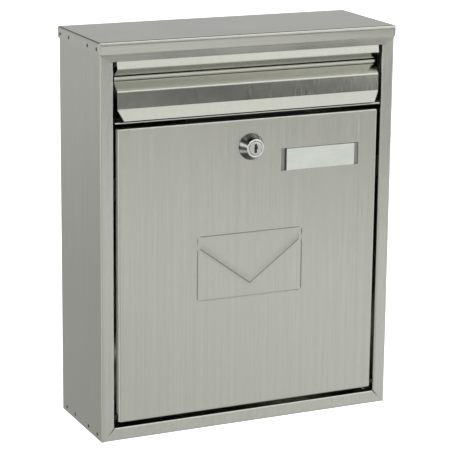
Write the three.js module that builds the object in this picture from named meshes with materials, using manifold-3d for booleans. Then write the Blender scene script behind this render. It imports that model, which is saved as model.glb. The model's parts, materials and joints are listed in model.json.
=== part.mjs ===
// Wall letter box in brushed stainless sheet: a folded body with a mitred front frame, a lift-off style
// cap, a fixed hood over a hinged slot flap, and a door that folds down on two pins and carries a cam lock.
// Millimetres, +Z up, the front faces -Y. Heights below are counted from the underside of the box, and the
// finished group is lowered so that its origin is the centre of the back face.

import * as THREE from 'three';
import { mergeVertices } from 'three/addons/utils/BufferGeometryUtils.js';
import Module from 'manifold-3d';

const wasm = await Module();
wasm.setup();

// ---- driving dimensions ---------------------------------------------------------------------------

const WIDTH = 290; // body, without the cap's overhang
const DEPTH = 103; // wall face to the front frame
const HEIGHT = 365; // underside to the top of the cap
const SHEET = 0.8; // steel thickness
const GAP = 0.3; // clearance between separate pieces that touch
const BEND = 1.5; // outside radius of a sheet bend

const FRAME = 12.3; // width of the front flanges
const FRAME_RETURN = 6; // depth of the flange's inner return
const MITRE_START = 2; // the mitre seam begins this far in from the outer corner
const SEAM = 0.4; // width of an open seam

const CAP_SKIRT = 10.5; // height of the cap's skirt
const CAP_OVERHANG = SHEET + GAP; // the skirt stands this far outside the body
const TONGUE_Z = 347.5; // lower edge of the cap's narrow front flange

const HOOD_HALF = 129; // half length of the hood and the flap
const HOOD_TOP_Z = 358;
const HOOD_BREAK_Z = 347;
const NOSE = [0.3, 340.6]; // [forward of the frame, height]
const HOOD_LIP = [-8.3, 333.45];
const HOOD_BACK = [-9.4, 341];

const FLAP_AXIS = [-9.6, 331.2];
const ROD_R = 1.1;
const CURL_R = 1.35; // inside radius of the flap's curl
const RIDGE = [0, 320.8];
const FLAP_FOLD = [0.8, 305.2];
const FLAP_TIP = [3.4, 295];
const TIP_TRIM = 5; // how far each end of the lip is cut back
const CURL_START = -69; // degrees, the free end of the curl
const BRACKET_BACK = 20; // the rod's brackets reach this far behind the frame
const BRACKET_FOOT = 12;
const BRACKET_Z = [FLAP_AXIS[1] - 6, FLAP_AXIS[1] + 8];
const ROD_CLIP_R = 3.4;

const SILL_TOP = 293.8;
const SILL_HALF = 131.2;
const HEM = 1.8; // the sill's front edge is folded under, two sheets thick
const SILL_BACK = 22; // depth of the sill's shelf behind the frame
const KEEPER_BACK = 12.2; // the keeper flange hangs this far behind the frame
const KEEPER_Z = 279;
const KEEPER_HALF = 60;
const SILL_TAB = 8; // height of the sill's end tabs

const DOOR_HALF = 128.5;
const DOOR_BOTTOM = 17;
const DOOR_TOP = 288;
const DOOR_PROUD = 1; // the door's face stands forward of the frame
const DOOR_RETURN = 7;
const DOOR_FOOT = 4; // shorter return along the bottom edge
const DOOR_AXIS = [-3.2, 21.5];
const PIN_R = 1.3;
const PIN_HEAD_R = 2.1;
const PIN_HOLE_R = PIN_R + GAP;
const SPACER_R = 2.75;
const HINGE_CLIP_R = 3.1;
const STOP_LAP = 3.5; // how far a door stop reaches behind the door's return
const STOP_FOOT = 14; // length of its foot along the side wall
const STOP_Z = [222.5, 242.5];


const LOCK_Z = 262.5;
const BEZEL_BASE_R = 12.2;
const BEZEL_FACE_R = 7.95;
const BEZEL_LENGTH = 9.2;
const BARREL_R = 9.5;
const NUT_R = 12.4; // across the corners
const NUT_THICK = 4.5;
const PLUG_R = 6.3;
const BARREL_BACK = 12; // the barrel ends this far behind the frame plane
const CAM_REACH = 27;
const CAM_SHEET = 2;
const DRIVE_HALF = 3.5; // half side of the square drive
const KEYWAY = [2.4, 8];
const WAFERS = 5;
const WAFER = [3.2, 5.2]; // half width and half height of a wafer
const WAFER_WINDOW = [1.8, 4.4]; // half width and half height of its opening
const WAFER_SHEET = 1.1;
const WAFER_PITCH = 2.6;
const SCREW_R = 2;
const WASHER_R = 5.5;

const NAME_X = 69.9; // centre of the name strip
const NAME_Z = 247.8;
const SLOT_LENGTH = 20.6;
const SLOT_WIDTH = 5.1;
const SLOT_INSIDE = 69; // distance between the two slots
const WINDOW_SHEET = 0.5;
const WINDOW_HOOK = 5.2; // each end passes through its slot and turns outwards behind the door

const ENVELOPE_HALF = 52.4;
const ENVELOPE_Z = [122.8, 182.9];
const ENVELOPE_FLAP_Z = 173.3; // where the flap lines leave the sides
const ENVELOPE_APEX_Z = 135.2;
const GROOVE = [0.9, 0.35]; // width and depth of the pressed outline

const RIVET_R = 1.65;
const RIVET_HEAD_R = 2.6;
const CAP_RIVET_Y = [-6, -75];
const CAP_RIVET_Z = HEIGHT - 6.4;
const FLOOR_RIVET_Y = [-12, -69];
const FLOOR_RIVET_Z = 4.8;
const FLOOR_TAB = 11; // height of the floor's side tabs
const TAB_INSET = 4; // the tabs stop short of the floor's back edge
const TAB_CLEAR = 15; // and start this far behind the frame

const WALL_HOLE_R = 3.5;
const WALL_HOLES = [[-110, 40], [110, 40], [-110, 325], [110, 325]];

const HALF = WIDTH / 2;
const OPENING = HALF - FRAME; // half width between the side flanges
const FRONT = -DEPTH;

// ---- finishes -------------------------------------------------------------------------------------

const steel = (color, roughness = 0.38) =>
  new THREE.MeshStandardMaterial({ color, roughness, metalness: 1 });
const BRUSHED = steel(0xb4b5ad);
const CAP_FINISH = steel(0xb0b1a9);
const CHROME = steel(0xdcdcd8, 0.12);
const NICKEL = steel(0xc8c8c2, 0.28);
const ZINC = steel(0x4a4b4a, 0.5);
const BRASS = steel(0xb89a5a, 0.35);
const CLEAR = new THREE.MeshStandardMaterial({ color: 0xe4e8e2, roughness: 0.12, metalness: 0 });
const PAPER = new THREE.MeshStandardMaterial({ color: 0xe9ebe6, roughness: 0.9, metalness: 0 });

// ---- solids ---------------------------------------------------------------------------------------

// A closed mesh with merged vertices and outward faces, as a manifold.
function toSolid(geometry) {
  const bare = geometry.index ? geometry.toNonIndexed() : geometry.clone();
  bare.deleteAttribute('normal');
  bare.deleteAttribute('uv');
  const merged = mergeVertices(bare, 1e-4);
  const triVerts = dropFlatTriangles(merged.index.array);
  const vertProperties = new Float32Array(merged.attributes.position.array);
  if (signedVolume(vertProperties, triVerts) < 0) {
    for (let i = 0; i < triVerts.length; i += 3) {
      [triVerts[i], triVerts[i + 1]] = [triVerts[i + 1], triVerts[i]];
    }
  }
  return new wasm.Manifold(new wasm.Mesh({ numProp: 3, vertProperties, triVerts }));
}

// Triangles that collapsed when their corners merged, as at the poles of a turned shape, are left out.
function dropFlatTriangles(index) {
  const kept = [];
  for (let i = 0; i < index.length; i += 3) {
    const [a, b, c] = [index[i], index[i + 1], index[i + 2]];
    if (a !== b && b !== c && c !== a) kept.push(a, b, c);
  }
  return new Uint32Array(kept);
}

// Volume under the triangles by the divergence theorem: positive when the faces point outwards.
function signedVolume(points, index) {
  const [a, b, c] = [new THREE.Vector3(), new THREE.Vector3(), new THREE.Vector3()];
  let volume = 0;
  for (let i = 0; i < index.length; i += 3) {
    a.fromArray(points, index[i] * 3);
    b.fromArray(points, index[i + 1] * 3);
    c.fromArray(points, index[i + 2] * 3);
    volume += a.dot(b.cross(c)) / 6;
  }
  return volume;
}

function toGeometry(solid) {
  const mesh = solid.getMesh();
  const geometry = new THREE.BufferGeometry();
  geometry.setAttribute('position', new THREE.BufferAttribute(new Float32Array(mesh.vertProperties), 3));
  geometry.setIndex(new THREE.BufferAttribute(new Uint32Array(mesh.triVerts), 1));
  geometry.computeVertexNormals();
  return geometry;
}

const join = (first, ...rest) => rest.reduce((sum, solid) => sum.add(solid), first);
const cut = (first, ...rest) => rest.reduce((left, solid) => left.subtract(solid), first);

// ---- outlines -------------------------------------------------------------------------------------

// A closed outline whose corners are rounded by the radius given for each, as far as its edges allow.
function roundedShape(points, radii) {
  const shape = new THREE.Shape();
  points.forEach((point, i) => {
    const before = points[(i + points.length - 1) % points.length];
    const after = points[(i + 1) % points.length];
    const reach = Math.min(radii[i], 0.45 * point.distanceTo(before), 0.45 * point.distanceTo(after));
    const start = point.clone().lerp(before, reach / point.distanceTo(before));
    if (i === 0) shape.moveTo(start.x, start.y);
    else shape.lineTo(start.x, start.y);
    if (reach > 0) {
      const end = point.clone().lerp(after, reach / point.distanceTo(after));
      shape.quadraticCurveTo(point.x, point.y, end.x, end.y);
    }
  });
  shape.closePath();
  return shape;
}

// The path moved sideways by a distance to its right, with mitred corners.
function offsetPath(path, distance) {
  const rightOf = (a, b) => new THREE.Vector2(b.y - a.y, a.x - b.x).normalize();
  return path.map((point, i) => {
    const into = i > 0 ? rightOf(path[i - 1], point) : rightOf(point, path[i + 1]);
    const out = i < path.length - 1 ? rightOf(point, path[i + 1]) : into;
    const middle = into.clone().add(out).normalize();
    return point.clone().addScaledVector(middle, distance / middle.dot(into));
  });
}

// The section of a bent sheet: the path is one face, and the thickness lies to the path's right, or to its
// left when it is negative. An outside corner gets the bend radius, an inside one the radius less the sheet.
function sheetShape(corners, thickness = SHEET, bend = BEND) {
  const path = corners.map(([x, y]) => new THREE.Vector2(x, y));
  const last = path.length - 1;
  const inside = Math.max(bend - Math.abs(thickness), 0);
  const outerCorner = (i) => {
    const a = path[i].clone().sub(path[i - 1]);
    const b = path[i + 1].clone().sub(path[i]);
    return a.cross(b) < 0 === thickness > 0;
  };
  const isEnd = (i) => i === 0 || i === last;
  const face = path.map((_, i) => (isEnd(i) ? 0 : outerCorner(i) ? bend : inside));
  const hidden = path.map((_, i) => (isEnd(i) ? 0 : outerCorner(i) ? inside : bend)).reverse();
  return roundedShape([...path, ...offsetPath(path, thickness).reverse()], [...face, ...hidden]);
}

// Axes of the three extrusion planes: a shape's x and y go to the named axes, its depth to the third.
const PLANES = {
  yz: new THREE.Matrix4().makeBasis(
    new THREE.Vector3(0, 1, 0), new THREE.Vector3(0, 0, 1), new THREE.Vector3(1, 0, 0)),
  xy: new THREE.Matrix4(),
  xz: new THREE.Matrix4().makeBasis(
    new THREE.Vector3(1, 0, 0), new THREE.Vector3(0, 0, 1), new THREE.Vector3(0, -1, 0)),
};

// Extrudes from one depth to another; in plane xz the depth counts towards the front, from the wall.
function extrude(plane, shape, from, to) {
  const settings = { depth: to - from, bevelEnabled: false, curveSegments: 4 };
  const geometry = new THREE.ExtrudeGeometry(shape, settings);
  geometry.translate(0, 0, from);
  geometry.applyMatrix4(PLANES[plane]);
  return toSolid(geometry);
}

const polygon = (points) => new THREE.Shape(points.map(([x, y]) => new THREE.Vector2(x, y)));

function box([x0, y0, z0], [x1, y1, z1]) {
  const geometry = new THREE.BoxGeometry(x1 - x0, y1 - y0, z1 - z0);
  geometry.translate((x0 + x1) / 2, (y0 + y1) / 2, (z0 + z1) / 2);
  return toSolid(geometry);
}

// A shape turned about an axis along X or Y: profile points are [radius, distance along the axis].
function turned(profile, axis, at, segments = 32) {
  const points = profile.map(([r, along]) => new THREE.Vector2(r, along));
  const geometry = new THREE.LatheGeometry(points, segments);
  if (axis === 'x') geometry.rotateZ(-Math.PI / 2);
  geometry.translate(...at);
  return toSolid(geometry);
}

const rod = (axis, at, radius, from, to, segments = 20) =>
  turned([[0, from], [radius, from], [radius, to], [0, to]], axis, at, segments);

const ring = (axis, at, inside, outside, from, to, segments = 16) =>
  turned([[inside, from], [outside, from], [outside, to], [inside, to], [inside, from]], axis, at, segments);

// Side sections are drawn as [forward of the frame, height]; y runs the other way.
const atFront = ([forward, z]) => [FRONT - forward, z];
const sideSheet = (corners, halfLength, thickness, bend) =>
  extrude('yz', sheetShape(corners.map(atFront).reverse(), thickness, bend), -halfLength, halfLength);

// ---- body -----------------------------------------------------------------------------------------

function bodyShell() {
  const top = HEIGHT - SHEET - GAP;
  const wrap = sheetShape([
    [-OPENING, FRONT + FRAME_RETURN], [-OPENING, FRONT], [-HALF, FRONT], [-HALF, 0],
    [HALF, 0], [HALF, FRONT], [OPENING, FRONT], [OPENING, FRONT + FRAME_RETURN],
  ]);
  const shell = extrude('xy', wrap, 0, top);
  const depth = [DEPTH - FRAME_RETURN - 1, DEPTH + 1];
  const skirtBottom = HEIGHT - CAP_SKIRT;
  const cuts = [-1, 1].flatMap((side) => [
    // bottom mitre, against the floor's front flange
    extrude('xz', polygon([
      [side * (HALF - MITRE_START), -1], [side * (HALF - MITRE_START), MITRE_START + SEAM],
      [side * (OPENING - 1), FRAME + 1 + SEAM], [side * (OPENING - 1), -1],
    ]), ...depth),
    // top mitre, against the cap's tongue, and the room inside the cap's skirt
    extrude('xz', polygon([
      [side * (HALF + 1), skirtBottom - SEAM], [side * HALF, skirtBottom - SEAM],
      [side * (HALF - (skirtBottom - TONGUE_Z)), TONGUE_Z - SEAM], [side * (OPENING - 1), TONGUE_Z - SEAM],
      [side * (OPENING - 1), HEIGHT], [side * (HALF + 1), HEIGHT],
    ]), DEPTH - FRAME_RETURN - 1, DEPTH + 1).intersect(
      box([-HALF + SHEET, FRONT - 1, 0], [HALF - SHEET, 0, HEIGHT]).add(
        box([-HALF - 1, FRONT - 1, 0], [HALF + 1, FRONT + 2, HEIGHT]))),
    rod('x', [0, ...atFront(DOOR_AXIS)], PIN_HOLE_R, side < 0 ? -HALF + 2 : OPENING - 2,
      side < 0 ? -OPENING + 2 : HALF - 2),
    ...CAP_RIVET_Y.map((y) => rod('x', [side * HALF, y, CAP_RIVET_Z], RIVET_R + GAP, -3, 3)),
    ...FLOOR_RIVET_Y.map((y) => rod('x', [side * HALF, y, FLOOR_RIVET_Z], RIVET_R + GAP, -3, 3)),
  ]);
  const holes = WALL_HOLES.map(([x, z]) => rod('y', [x, 0, z], WALL_HOLE_R, -3, 3));
  return cut(shell, ...cuts, ...holes);
}

function floorPanel() {
  const inside = HALF - SHEET - GAP;
  const back = -SHEET - GAP;
  const section = extrude('yz', sheetShape([
    [back, 0], [FRONT, 0], [FRONT, FRAME], [FRONT + FRAME_RETURN, FRAME],
  ]), -inside, inside);
  const tabs = [-1, 1].map((side) => extrude('xy', polygon([
    [side * inside, back - TAB_INSET], [side * (inside - SHEET), back - TAB_INSET],
    [side * (inside - SHEET), FRONT + TAB_CLEAR], [side * inside, FRONT + TAB_CLEAR],
  ]), 0, FLOOR_TAB));
  const cuts = [-1, 1].flatMap((side) => [
    // mitred ends of the front flange, clear of the body's side flanges and returns
    extrude('xz', polygon([
      [side * (HALF + 1), -1], [side * (HALF - MITRE_START - SEAM), -1],
      [side * (HALF - MITRE_START - SEAM), MITRE_START], [side * (OPENING - SEAM), FRAME - SEAM],
      [side * (OPENING - SEAM), FRAME + 1], [side * (HALF + 1), FRAME + 1],
    ]), DEPTH - FRAME_RETURN - GAP, DEPTH + 1),
    ...FLOOR_RIVET_Y.map((y) => rod('x', [side * inside, y, FLOOR_RIVET_Z], RIVET_R + GAP, -3, 3)),
  ]);
  return cut(join(section, ...tabs), ...cuts);
}

function topCap() {
  const outside = HALF + CAP_OVERHANG;
  const skirtBottom = HEIGHT - CAP_SKIRT;
  const section = extrude('yz', sheetShape([
    [0, HEIGHT], [FRONT - CAP_OVERHANG, HEIGHT], [FRONT - CAP_OVERHANG, skirtBottom],
    [FRONT, skirtBottom], [FRONT, TONGUE_Z],
  ].reverse(), SHEET, BEND), -outside, outside);
  const skirts = [-1, 1].map((side) => box(
    [side < 0 ? -outside : outside - SHEET, FRONT - CAP_OVERHANG + BEND, skirtBottom],
    [side < 0 ? -outside + SHEET : outside, 0, HEIGHT - SHEET / 2]));
  const corners = [-1, 1].map((side) => box(
    [side < 0 ? -outside : outside - SHEET, FRONT - CAP_OVERHANG, skirtBottom],
    [side < 0 ? -outside + SHEET : outside, FRONT, HEIGHT - BEND]));
  const cuts = [-1, 1].flatMap((side) => [
    // the tongue's mitred ends
    extrude('xz', polygon([
      [side * (outside + 1), skirtBottom], [side * HALF, skirtBottom],
      [side * (HALF - (skirtBottom - TONGUE_Z)), TONGUE_Z], [side * (HALF - 20), TONGUE_Z - 1],
      [side * (outside + 1), TONGUE_Z - 1],
    ]), DEPTH - 3, DEPTH + 0.5),
    ...CAP_RIVET_Y.map((y) => rod('x', [side * outside, y, CAP_RIVET_Z], RIVET_R + GAP, -3, 3)),
  ]);
  return cut(join(section, ...skirts, ...corners), ...cuts);
}

// ---- slot -----------------------------------------------------------------------------------------

function slotHood() {
  const face = -SHEET - GAP;
  const strip = sideSheet([[face, HOOD_TOP_Z], [face, HOOD_BREAK_Z], NOSE, HOOD_LIP, HOOD_BACK], HOOD_HALF);
  const cheek = polygon([
    [face - SHEET / 2, HOOD_BREAK_Z], [NOSE[0] - SHEET, NOSE[1]],
    [HOOD_LIP[0] + SHEET / 2, HOOD_LIP[1] + SHEET],
    [HOOD_BACK[0] + SHEET, HOOD_BACK[1]], [HOOD_BACK[0] + SHEET, HOOD_BREAK_Z],
  ].map(atFront));
  return join(strip, extrude('yz', cheek, -HOOD_HALF, -HOOD_HALF + SHEET),
    extrude('yz', cheek, HOOD_HALF - SHEET, HOOD_HALF));
}

// The flap's visible face as a path: an arc round the rod, then the band that leaves it at a tangent.
function flapPath() {
  const toRidge = new THREE.Vector2(RIDGE[0] - FLAP_AXIS[0], RIDGE[1] - FLAP_AXIS[1]);
  const start = THREE.MathUtils.degToRad(CURL_START);
  const end = toRidge.angle() + Math.asin(CURL_R / toRidge.length()) - Math.PI / 2;
  const steps = 16;
  const arc = Array.from({ length: steps + 1 }, (_, i) => {
    const angle = start + (end - start) * (i / steps);
    return [FLAP_AXIS[0] + CURL_R * Math.cos(angle), FLAP_AXIS[1] + CURL_R * Math.sin(angle)];
  });
  return [...arc, RIDGE, FLAP_FOLD, FLAP_TIP];
}

function flap() {
  const path = flapPath();
  const sheet = sideSheet(path, HOOD_HALF);
  const trims = [-1, 1].map((side) => extrude('xz', polygon([
    [side * (HOOD_HALF + 1), FLAP_FOLD[1] - 1], [side * HOOD_HALF, FLAP_FOLD[1] - 1],
    [side * (HOOD_HALF - TIP_TRIM), FLAP_TIP[1] - 1], [side * (HOOD_HALF + 1), FLAP_TIP[1] - 1],
  ]), DEPTH - 5, DEPTH + 8));
  return cut(sheet, ...trims);
}

function slotSill() {
  const under = SILL_TOP - SHEET;
  const shelfEnd = HALF - SHEET - GAP;
  const behind = FRAME_RETURN + GAP;
  const front = extrude('yz', roundedShape([
    [-behind - 1, SILL_TOP], [0, SILL_TOP], [0, SILL_TOP - HEM], [-5, SILL_TOP - HEM], [-5, under],
    [-behind - 1, under],
  ].map((point) => new THREE.Vector2(...atFront(point))), [0, 0.8, 0.8, 0, 0, 0]), -SILL_HALF, SILL_HALF);
  const shelf = box([-shelfEnd, FRONT + behind, under], [shelfEnd, FRONT + SILL_BACK, SILL_TOP]);
  const keeper = box([-KEEPER_HALF, FRONT + KEEPER_BACK, KEEPER_Z],
    [KEEPER_HALF, FRONT + KEEPER_BACK + SHEET, SILL_TOP - 0.1]);
  const tabs = [-1, 1].map((side) => box(
    [side < 0 ? -shelfEnd : shelfEnd - SHEET, FRONT + behind, under - SILL_TAB],
    [side < 0 ? -shelfEnd + SHEET : shelfEnd, FRONT + SILL_BACK, SILL_TOP - 0.1]));
  return join(front, shelf, keeper, ...tabs);
}

const flapRod = () => rod('x', [0, ...atFront(FLAP_AXIS)], ROD_R, -OPENING - 1.8, OPENING + 1.8);

// A bracket behind the side flange: a plate that holds the rod's end, bent out and back along the side wall.
function flapBracket(side) {
  const near = OPENING - 0.5;
  const wall = HALF - SHEET - GAP;
  const back = FRONT + BRACKET_BACK;
  const plan = sheetShape([
    [near, FRONT + FRAME_RETURN + GAP], [near, back], [wall, back], [wall, back + BRACKET_FOOT],
  ].map(([x, y]) => [side * x, y]), -side * SHEET, BEND);
  const plate = extrude('xy', plan, ...BRACKET_Z);
  return cut(plate, rod('x', [0, ...atFront(FLAP_AXIS)], ROD_R + GAP, side < 0 ? -HALF : OPENING - 5,
    side < 0 ? -OPENING + 5 : HALF));
}

const flapRodClip = (side) => {
  const from = OPENING + 0.6;
  return ring('x', [0, ...atFront(FLAP_AXIS)], ROD_R + GAP, ROD_CLIP_R, side < 0 ? -from - SHEET : from,
    side < 0 ? -from : from + SHEET);
};

// ---- door -----------------------------------------------------------------------------------------

function envelopeGrooves() {
  const [width, depth] = GROOVE;
  const [low, high] = ENVELOPE_Z;
  const bridge = 2.2;
  const line = ([x0, z0], [x1, z1]) => {
    const along = new THREE.Vector2(x1 - x0, z1 - z0).normalize().multiplyScalar(width / 2);
    const [ax, az] = [-along.y, along.x];
    return extrude('xz', polygon([
      [x0 + ax - along.x, z0 + az - along.y], [x0 - ax - along.x, z0 - az - along.y],
      [x1 - ax + along.x, z1 - az + along.y], [x1 + ax + along.x, z1 + az + along.y],
    ]), DEPTH + DOOR_PROUD - depth, DEPTH + DOOR_PROUD + 1);
  };
  const sides = [-1, 1].flatMap((side) => [
    line([side * ENVELOPE_HALF, low + 1], [side * ENVELOPE_HALF, ENVELOPE_FLAP_Z - bridge]),
    line([side * ENVELOPE_HALF, ENVELOPE_FLAP_Z + bridge + 1], [side * ENVELOPE_HALF, high - 1]),
    line([side * (ENVELOPE_HALF - bridge), ENVELOPE_FLAP_Z - bridge / 2], [0, ENVELOPE_APEX_Z]),
  ]);
  return [
    ...sides,
    line([-ENVELOPE_HALF + bridge, low], [ENVELOPE_HALF - bridge, low]),
    line([-ENVELOPE_HALF + bridge, high], [ENVELOPE_HALF - bridge, high]),
  ];
}

function doorPanel() {
  const face = FRONT - DOOR_PROUD;
  const across = extrude('xy', sheetShape([
    [-DOOR_HALF, face + DOOR_RETURN], [-DOOR_HALF, face], [DOOR_HALF, face], [DOOR_HALF, face + DOOR_RETURN],
  ].reverse()), DOOR_BOTTOM, DOOR_TOP);
  const inner = DOOR_HALF - SHEET / 2;
  const topEdge = box([-inner, face + SHEET / 2, DOOR_TOP - SHEET], [inner, face + DOOR_RETURN, DOOR_TOP]);
  const footEdge = box([-inner, face + SHEET / 2, DOOR_BOTTOM],
    [inner, face + DOOR_FOOT, DOOR_BOTTOM + SHEET]);
  const slots = [-1, 1].map((side) => {
    const x = NAME_X + side * (SLOT_INSIDE + SLOT_WIDTH) / 2;
    return box([x - SLOT_WIDTH / 2, face - 2, NAME_Z - SLOT_LENGTH / 2],
      [x + SLOT_WIDTH / 2, face + 3, NAME_Z + SLOT_LENGTH / 2]);
  });
  const pinHole = rod('x', [0, ...atFront(DOOR_AXIS)], PIN_HOLE_R, -HALF, HALF);
  const lockHole = rod('y', [0, FRONT, LOCK_Z], BARREL_R + GAP, -5, 5, 40);
  return cut(join(across, topEdge, footEdge), ...slots, pinHole, lockHole, ...envelopeGrooves());
}

// Headed pin from behind the frame's return, through the spacer and the door's return.
function doorHingePin(side) {
  const head = OPENING + SHEET + GAP;
  const profile = [
    [0, DOOR_HALF - 3], [PIN_R, DOOR_HALF - 3], [PIN_R, head], [PIN_HEAD_R, head], [PIN_HEAD_R, head + 1.2],
    [0, head + 1.2],
  ].map(([r, x]) => [r, side * x]);
  return turned(profile, 'x', [0, ...atFront(DOOR_AXIS)], 16);
}

const sideRing = (side, inside, outside, from, to) =>
  ring('x', [0, ...atFront(DOOR_AXIS)], inside, outside, side * from, side * to);

const doorHingeSpacer = (side) => sideRing(side, PIN_HOLE_R, SPACER_R, DOOR_HALF + GAP, OPENING - GAP);
const doorHingeClip = (side) => sideRing(side, PIN_HOLE_R, HINGE_CLIP_R, DOOR_HALF - 2.3,
  DOOR_HALF - SHEET - GAP);

// A small angle behind the side flange that the closed door's return meets.
function doorStop(side) {
  const wall = HALF - SHEET - GAP;
  const back = FRONT + DOOR_RETURN - DOOR_PROUD + GAP;
  const plan = sheetShape([
    [DOOR_HALF - STOP_LAP, back], [wall, back], [wall, back + STOP_FOOT],
  ].map(([x, y]) => [side * x, y]), -side * SHEET, BEND);
  return extrude('xy', plan, ...STOP_Z);
}

// ---- lock -----------------------------------------------------------------------------------------

const LOCK_AT = [0, FRONT, LOCK_Z];
const BEZEL_BASE = DOOR_PROUD + GAP;
const BEZEL_FACE = BEZEL_BASE + BEZEL_LENGTH;
const PLUG_FACE = BEZEL_FACE - 0.3;
const SHOULDER = BARREL_BACK + GAP; // the plug's rear shoulder bears on the barrel's end
const DRIVE_START = SHOULDER + 1.2;
const CAM_START = DRIVE_START + GAP;
const CAM_END = CAM_START + CAM_SHEET;

// Lock profiles are drawn as [radius, forward of the frame].
const lockTurned = (profile, segments = 40) =>
  turned(profile.map(([r, forward]) => [r, -forward]), 'y', LOCK_AT, segments);
const lockBox = (halfX, halfZ, back, front) =>
  box([-halfX, FRONT - front, LOCK_Z - halfZ], [halfX, FRONT - back, LOCK_Z + halfZ]);

function lockHousing() {
  const bore = PLUG_R + GAP;
  return lockTurned([
    [bore, -BARREL_BACK], [BARREL_R, -BARREL_BACK], [BARREL_R, BEZEL_BASE], [BEZEL_BASE_R, BEZEL_BASE],
    [BEZEL_BASE_R, BEZEL_BASE + 0.8], [BEZEL_FACE_R + 0.3, BEZEL_FACE - 0.3], [BEZEL_FACE_R, BEZEL_FACE],
    [bore + 0.2, BEZEL_FACE], [bore, BEZEL_FACE - 0.4], [bore, -BARREL_BACK],
  ], 48);
}

function lockNut() {
  const rear = DOOR_PROUD - SHEET - GAP;
  const hexagon = Array.from({ length: 6 }, (_, i) => {
    const angle = (i / 6) * 2 * Math.PI;
    return [NUT_R * Math.cos(angle), LOCK_Z + NUT_R * Math.sin(angle)];
  });
  const block = extrude('xz', polygon(hexagon), DEPTH + rear - NUT_THICK, DEPTH + rear);
  return cut(block, lockTurned([[0, -20], [BARREL_R + GAP, -20], [BARREL_R + GAP, 20], [0, 20]]));
}

const waferAt = (i) => BEZEL_FACE - 4 - i * WAFER_PITCH; // front face of wafer i, forward of the frame

function lockPlug() {
  const body = lockTurned([
    [0, -SHOULDER - 1], [PLUG_R + 1.2, -SHOULDER - 1], [PLUG_R + 1.2, -SHOULDER], [PLUG_R, -SHOULDER],
    [PLUG_R, PLUG_FACE - 0.3], [PLUG_R - 0.3, PLUG_FACE], [0, PLUG_FACE],
  ]);
  const drive = lockBox(DRIVE_HALF, DRIVE_HALF, -CAM_END + 0.4, -SHOULDER);
  const [width, height] = KEYWAY;
  const keyway = lockBox(width / 2, height / 2, PLUG_FACE - 17, PLUG_FACE + 1);
  const warding = box([width / 2 - 0.1, FRONT - PLUG_FACE - 1, LOCK_Z - 0.6],
    [width / 2 + 1, FRONT - PLUG_FACE + 17, LOCK_Z + 1.6]);
  const screwHole = lockTurned([
    [0, -CAM_END - 1], [SCREW_R + GAP, -CAM_END - 1], [SCREW_R + GAP, -7.5], [0, -7.5],
  ], 20);
  const slots = Array.from({ length: WAFERS }, (_, i) =>
    lockBox(WAFER[0] + GAP, PLUG_R + 1, waferAt(i) - WAFER_SHEET - GAP, waferAt(i) + GAP));
  return cut(join(body, drive), keyway, warding, screwHole, ...slots);
}

function lockWafer(i) {
  const plate = lockBox(...WAFER, waferAt(i) - WAFER_SHEET, waferAt(i));
  return cut(plate, lockBox(...WAFER_WINDOW, waferAt(i) - WAFER_SHEET - 1, waferAt(i) + 1));
}

// A plate cam whose arm lies along +X at rest, with a square hole on the plug's drive.
function lockCam() {
  const outline = new THREE.Shape();
  const hub = 8.5;
  const tip = 5;
  const arm = CAM_REACH - tip;
  outline.absarc(0, 0, hub, Math.PI * 0.3, Math.PI * 1.7, false);
  outline.absarc(arm, 0, tip, -Math.PI / 2, Math.PI / 2, false);
  outline.closePath();
  const settings = { depth: CAM_SHEET, bevelEnabled: false, curveSegments: 16 };
  const geometry = new THREE.ExtrudeGeometry(outline, settings);
  geometry.applyMatrix4(PLANES.xz);
  geometry.translate(0, FRONT + CAM_END, LOCK_Z);
  const half = DRIVE_HALF + GAP;
  return cut(toSolid(geometry), lockBox(half, half, -CAM_END - 1, -CAM_START + 1));
}

const lockWasher = () => lockTurned([
  [SCREW_R + GAP, -CAM_END - GAP - SHEET], [WASHER_R, -CAM_END - GAP - SHEET], [WASHER_R, -CAM_END - GAP],
  [SCREW_R + GAP, -CAM_END - GAP], [SCREW_R + GAP, -CAM_END - GAP - SHEET],
], 28);

function lockScrew() {
  const under = -CAM_END - 2 * GAP - SHEET;
  const screw = lockTurned([[0, under - 2.6], [3.4, under - 2.6], [3.8, under - 2], [3.8, under],
    [SCREW_R, under], [SCREW_R, -8.5], [0, -8.5]], 24);
  return cut(screw, lockBox(4, 0.5, under - 4, under - 1.5));
}

// ---- name strip -----------------------------------------------------------------------------------

function nameWindow() {
  const half = SLOT_INSIDE / 2 + GAP + WINDOW_SHEET;
  const front = DOOR_PROUD + 3 * GAP + WINDOW_SHEET;
  const rear = DOOR_PROUD - SHEET - GAP;
  const hook = half + WINDOW_HOOK;
  const plan = sheetShape([
    [hook, rear], [half, rear], [half, front], [-half, front], [-half, rear], [-hook, rear],
  ].map(([x, forward]) => [NAME_X + x, FRONT - forward]), WINDOW_SHEET, 0.9);
  return extrude('xy', plan, NAME_Z - SLOT_LENGTH / 2 + GAP, NAME_Z + SLOT_LENGTH / 2 - GAP);
}

function nameCard() {
  const half = SLOT_INSIDE / 2 - 0.8;
  const high = SLOT_LENGTH / 2 - 0.7;
  return box([NAME_X - half, FRONT - DOOR_PROUD - 2 * GAP, NAME_Z - high],
    [NAME_X + half, FRONT - DOOR_PROUD - GAP, NAME_Z + high]);
}

// ---- rivets ---------------------------------------------------------------------------------------

// A flush rivet through an outer and an inner sheet: its head is flat with the outer face.
function rivet(side, outside, y, z) {
  const inside = outside - 2 * SHEET - GAP;
  const profile = [
    [0, outside], [RIVET_R, outside], [RIVET_R, inside - GAP], [RIVET_HEAD_R, inside - GAP],
    [RIVET_HEAD_R, inside - GAP - 0.6], [0, inside - GAP - 0.6],
  ].map(([r, x]) => [r, side * x]);
  return turned(profile, 'x', [0, y, z], 16);
}

// ---- assembly -------------------------------------------------------------------------------------

const letterBox = new THREE.Group();
letterBox.position.z = -HEIGHT / 2;

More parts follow.
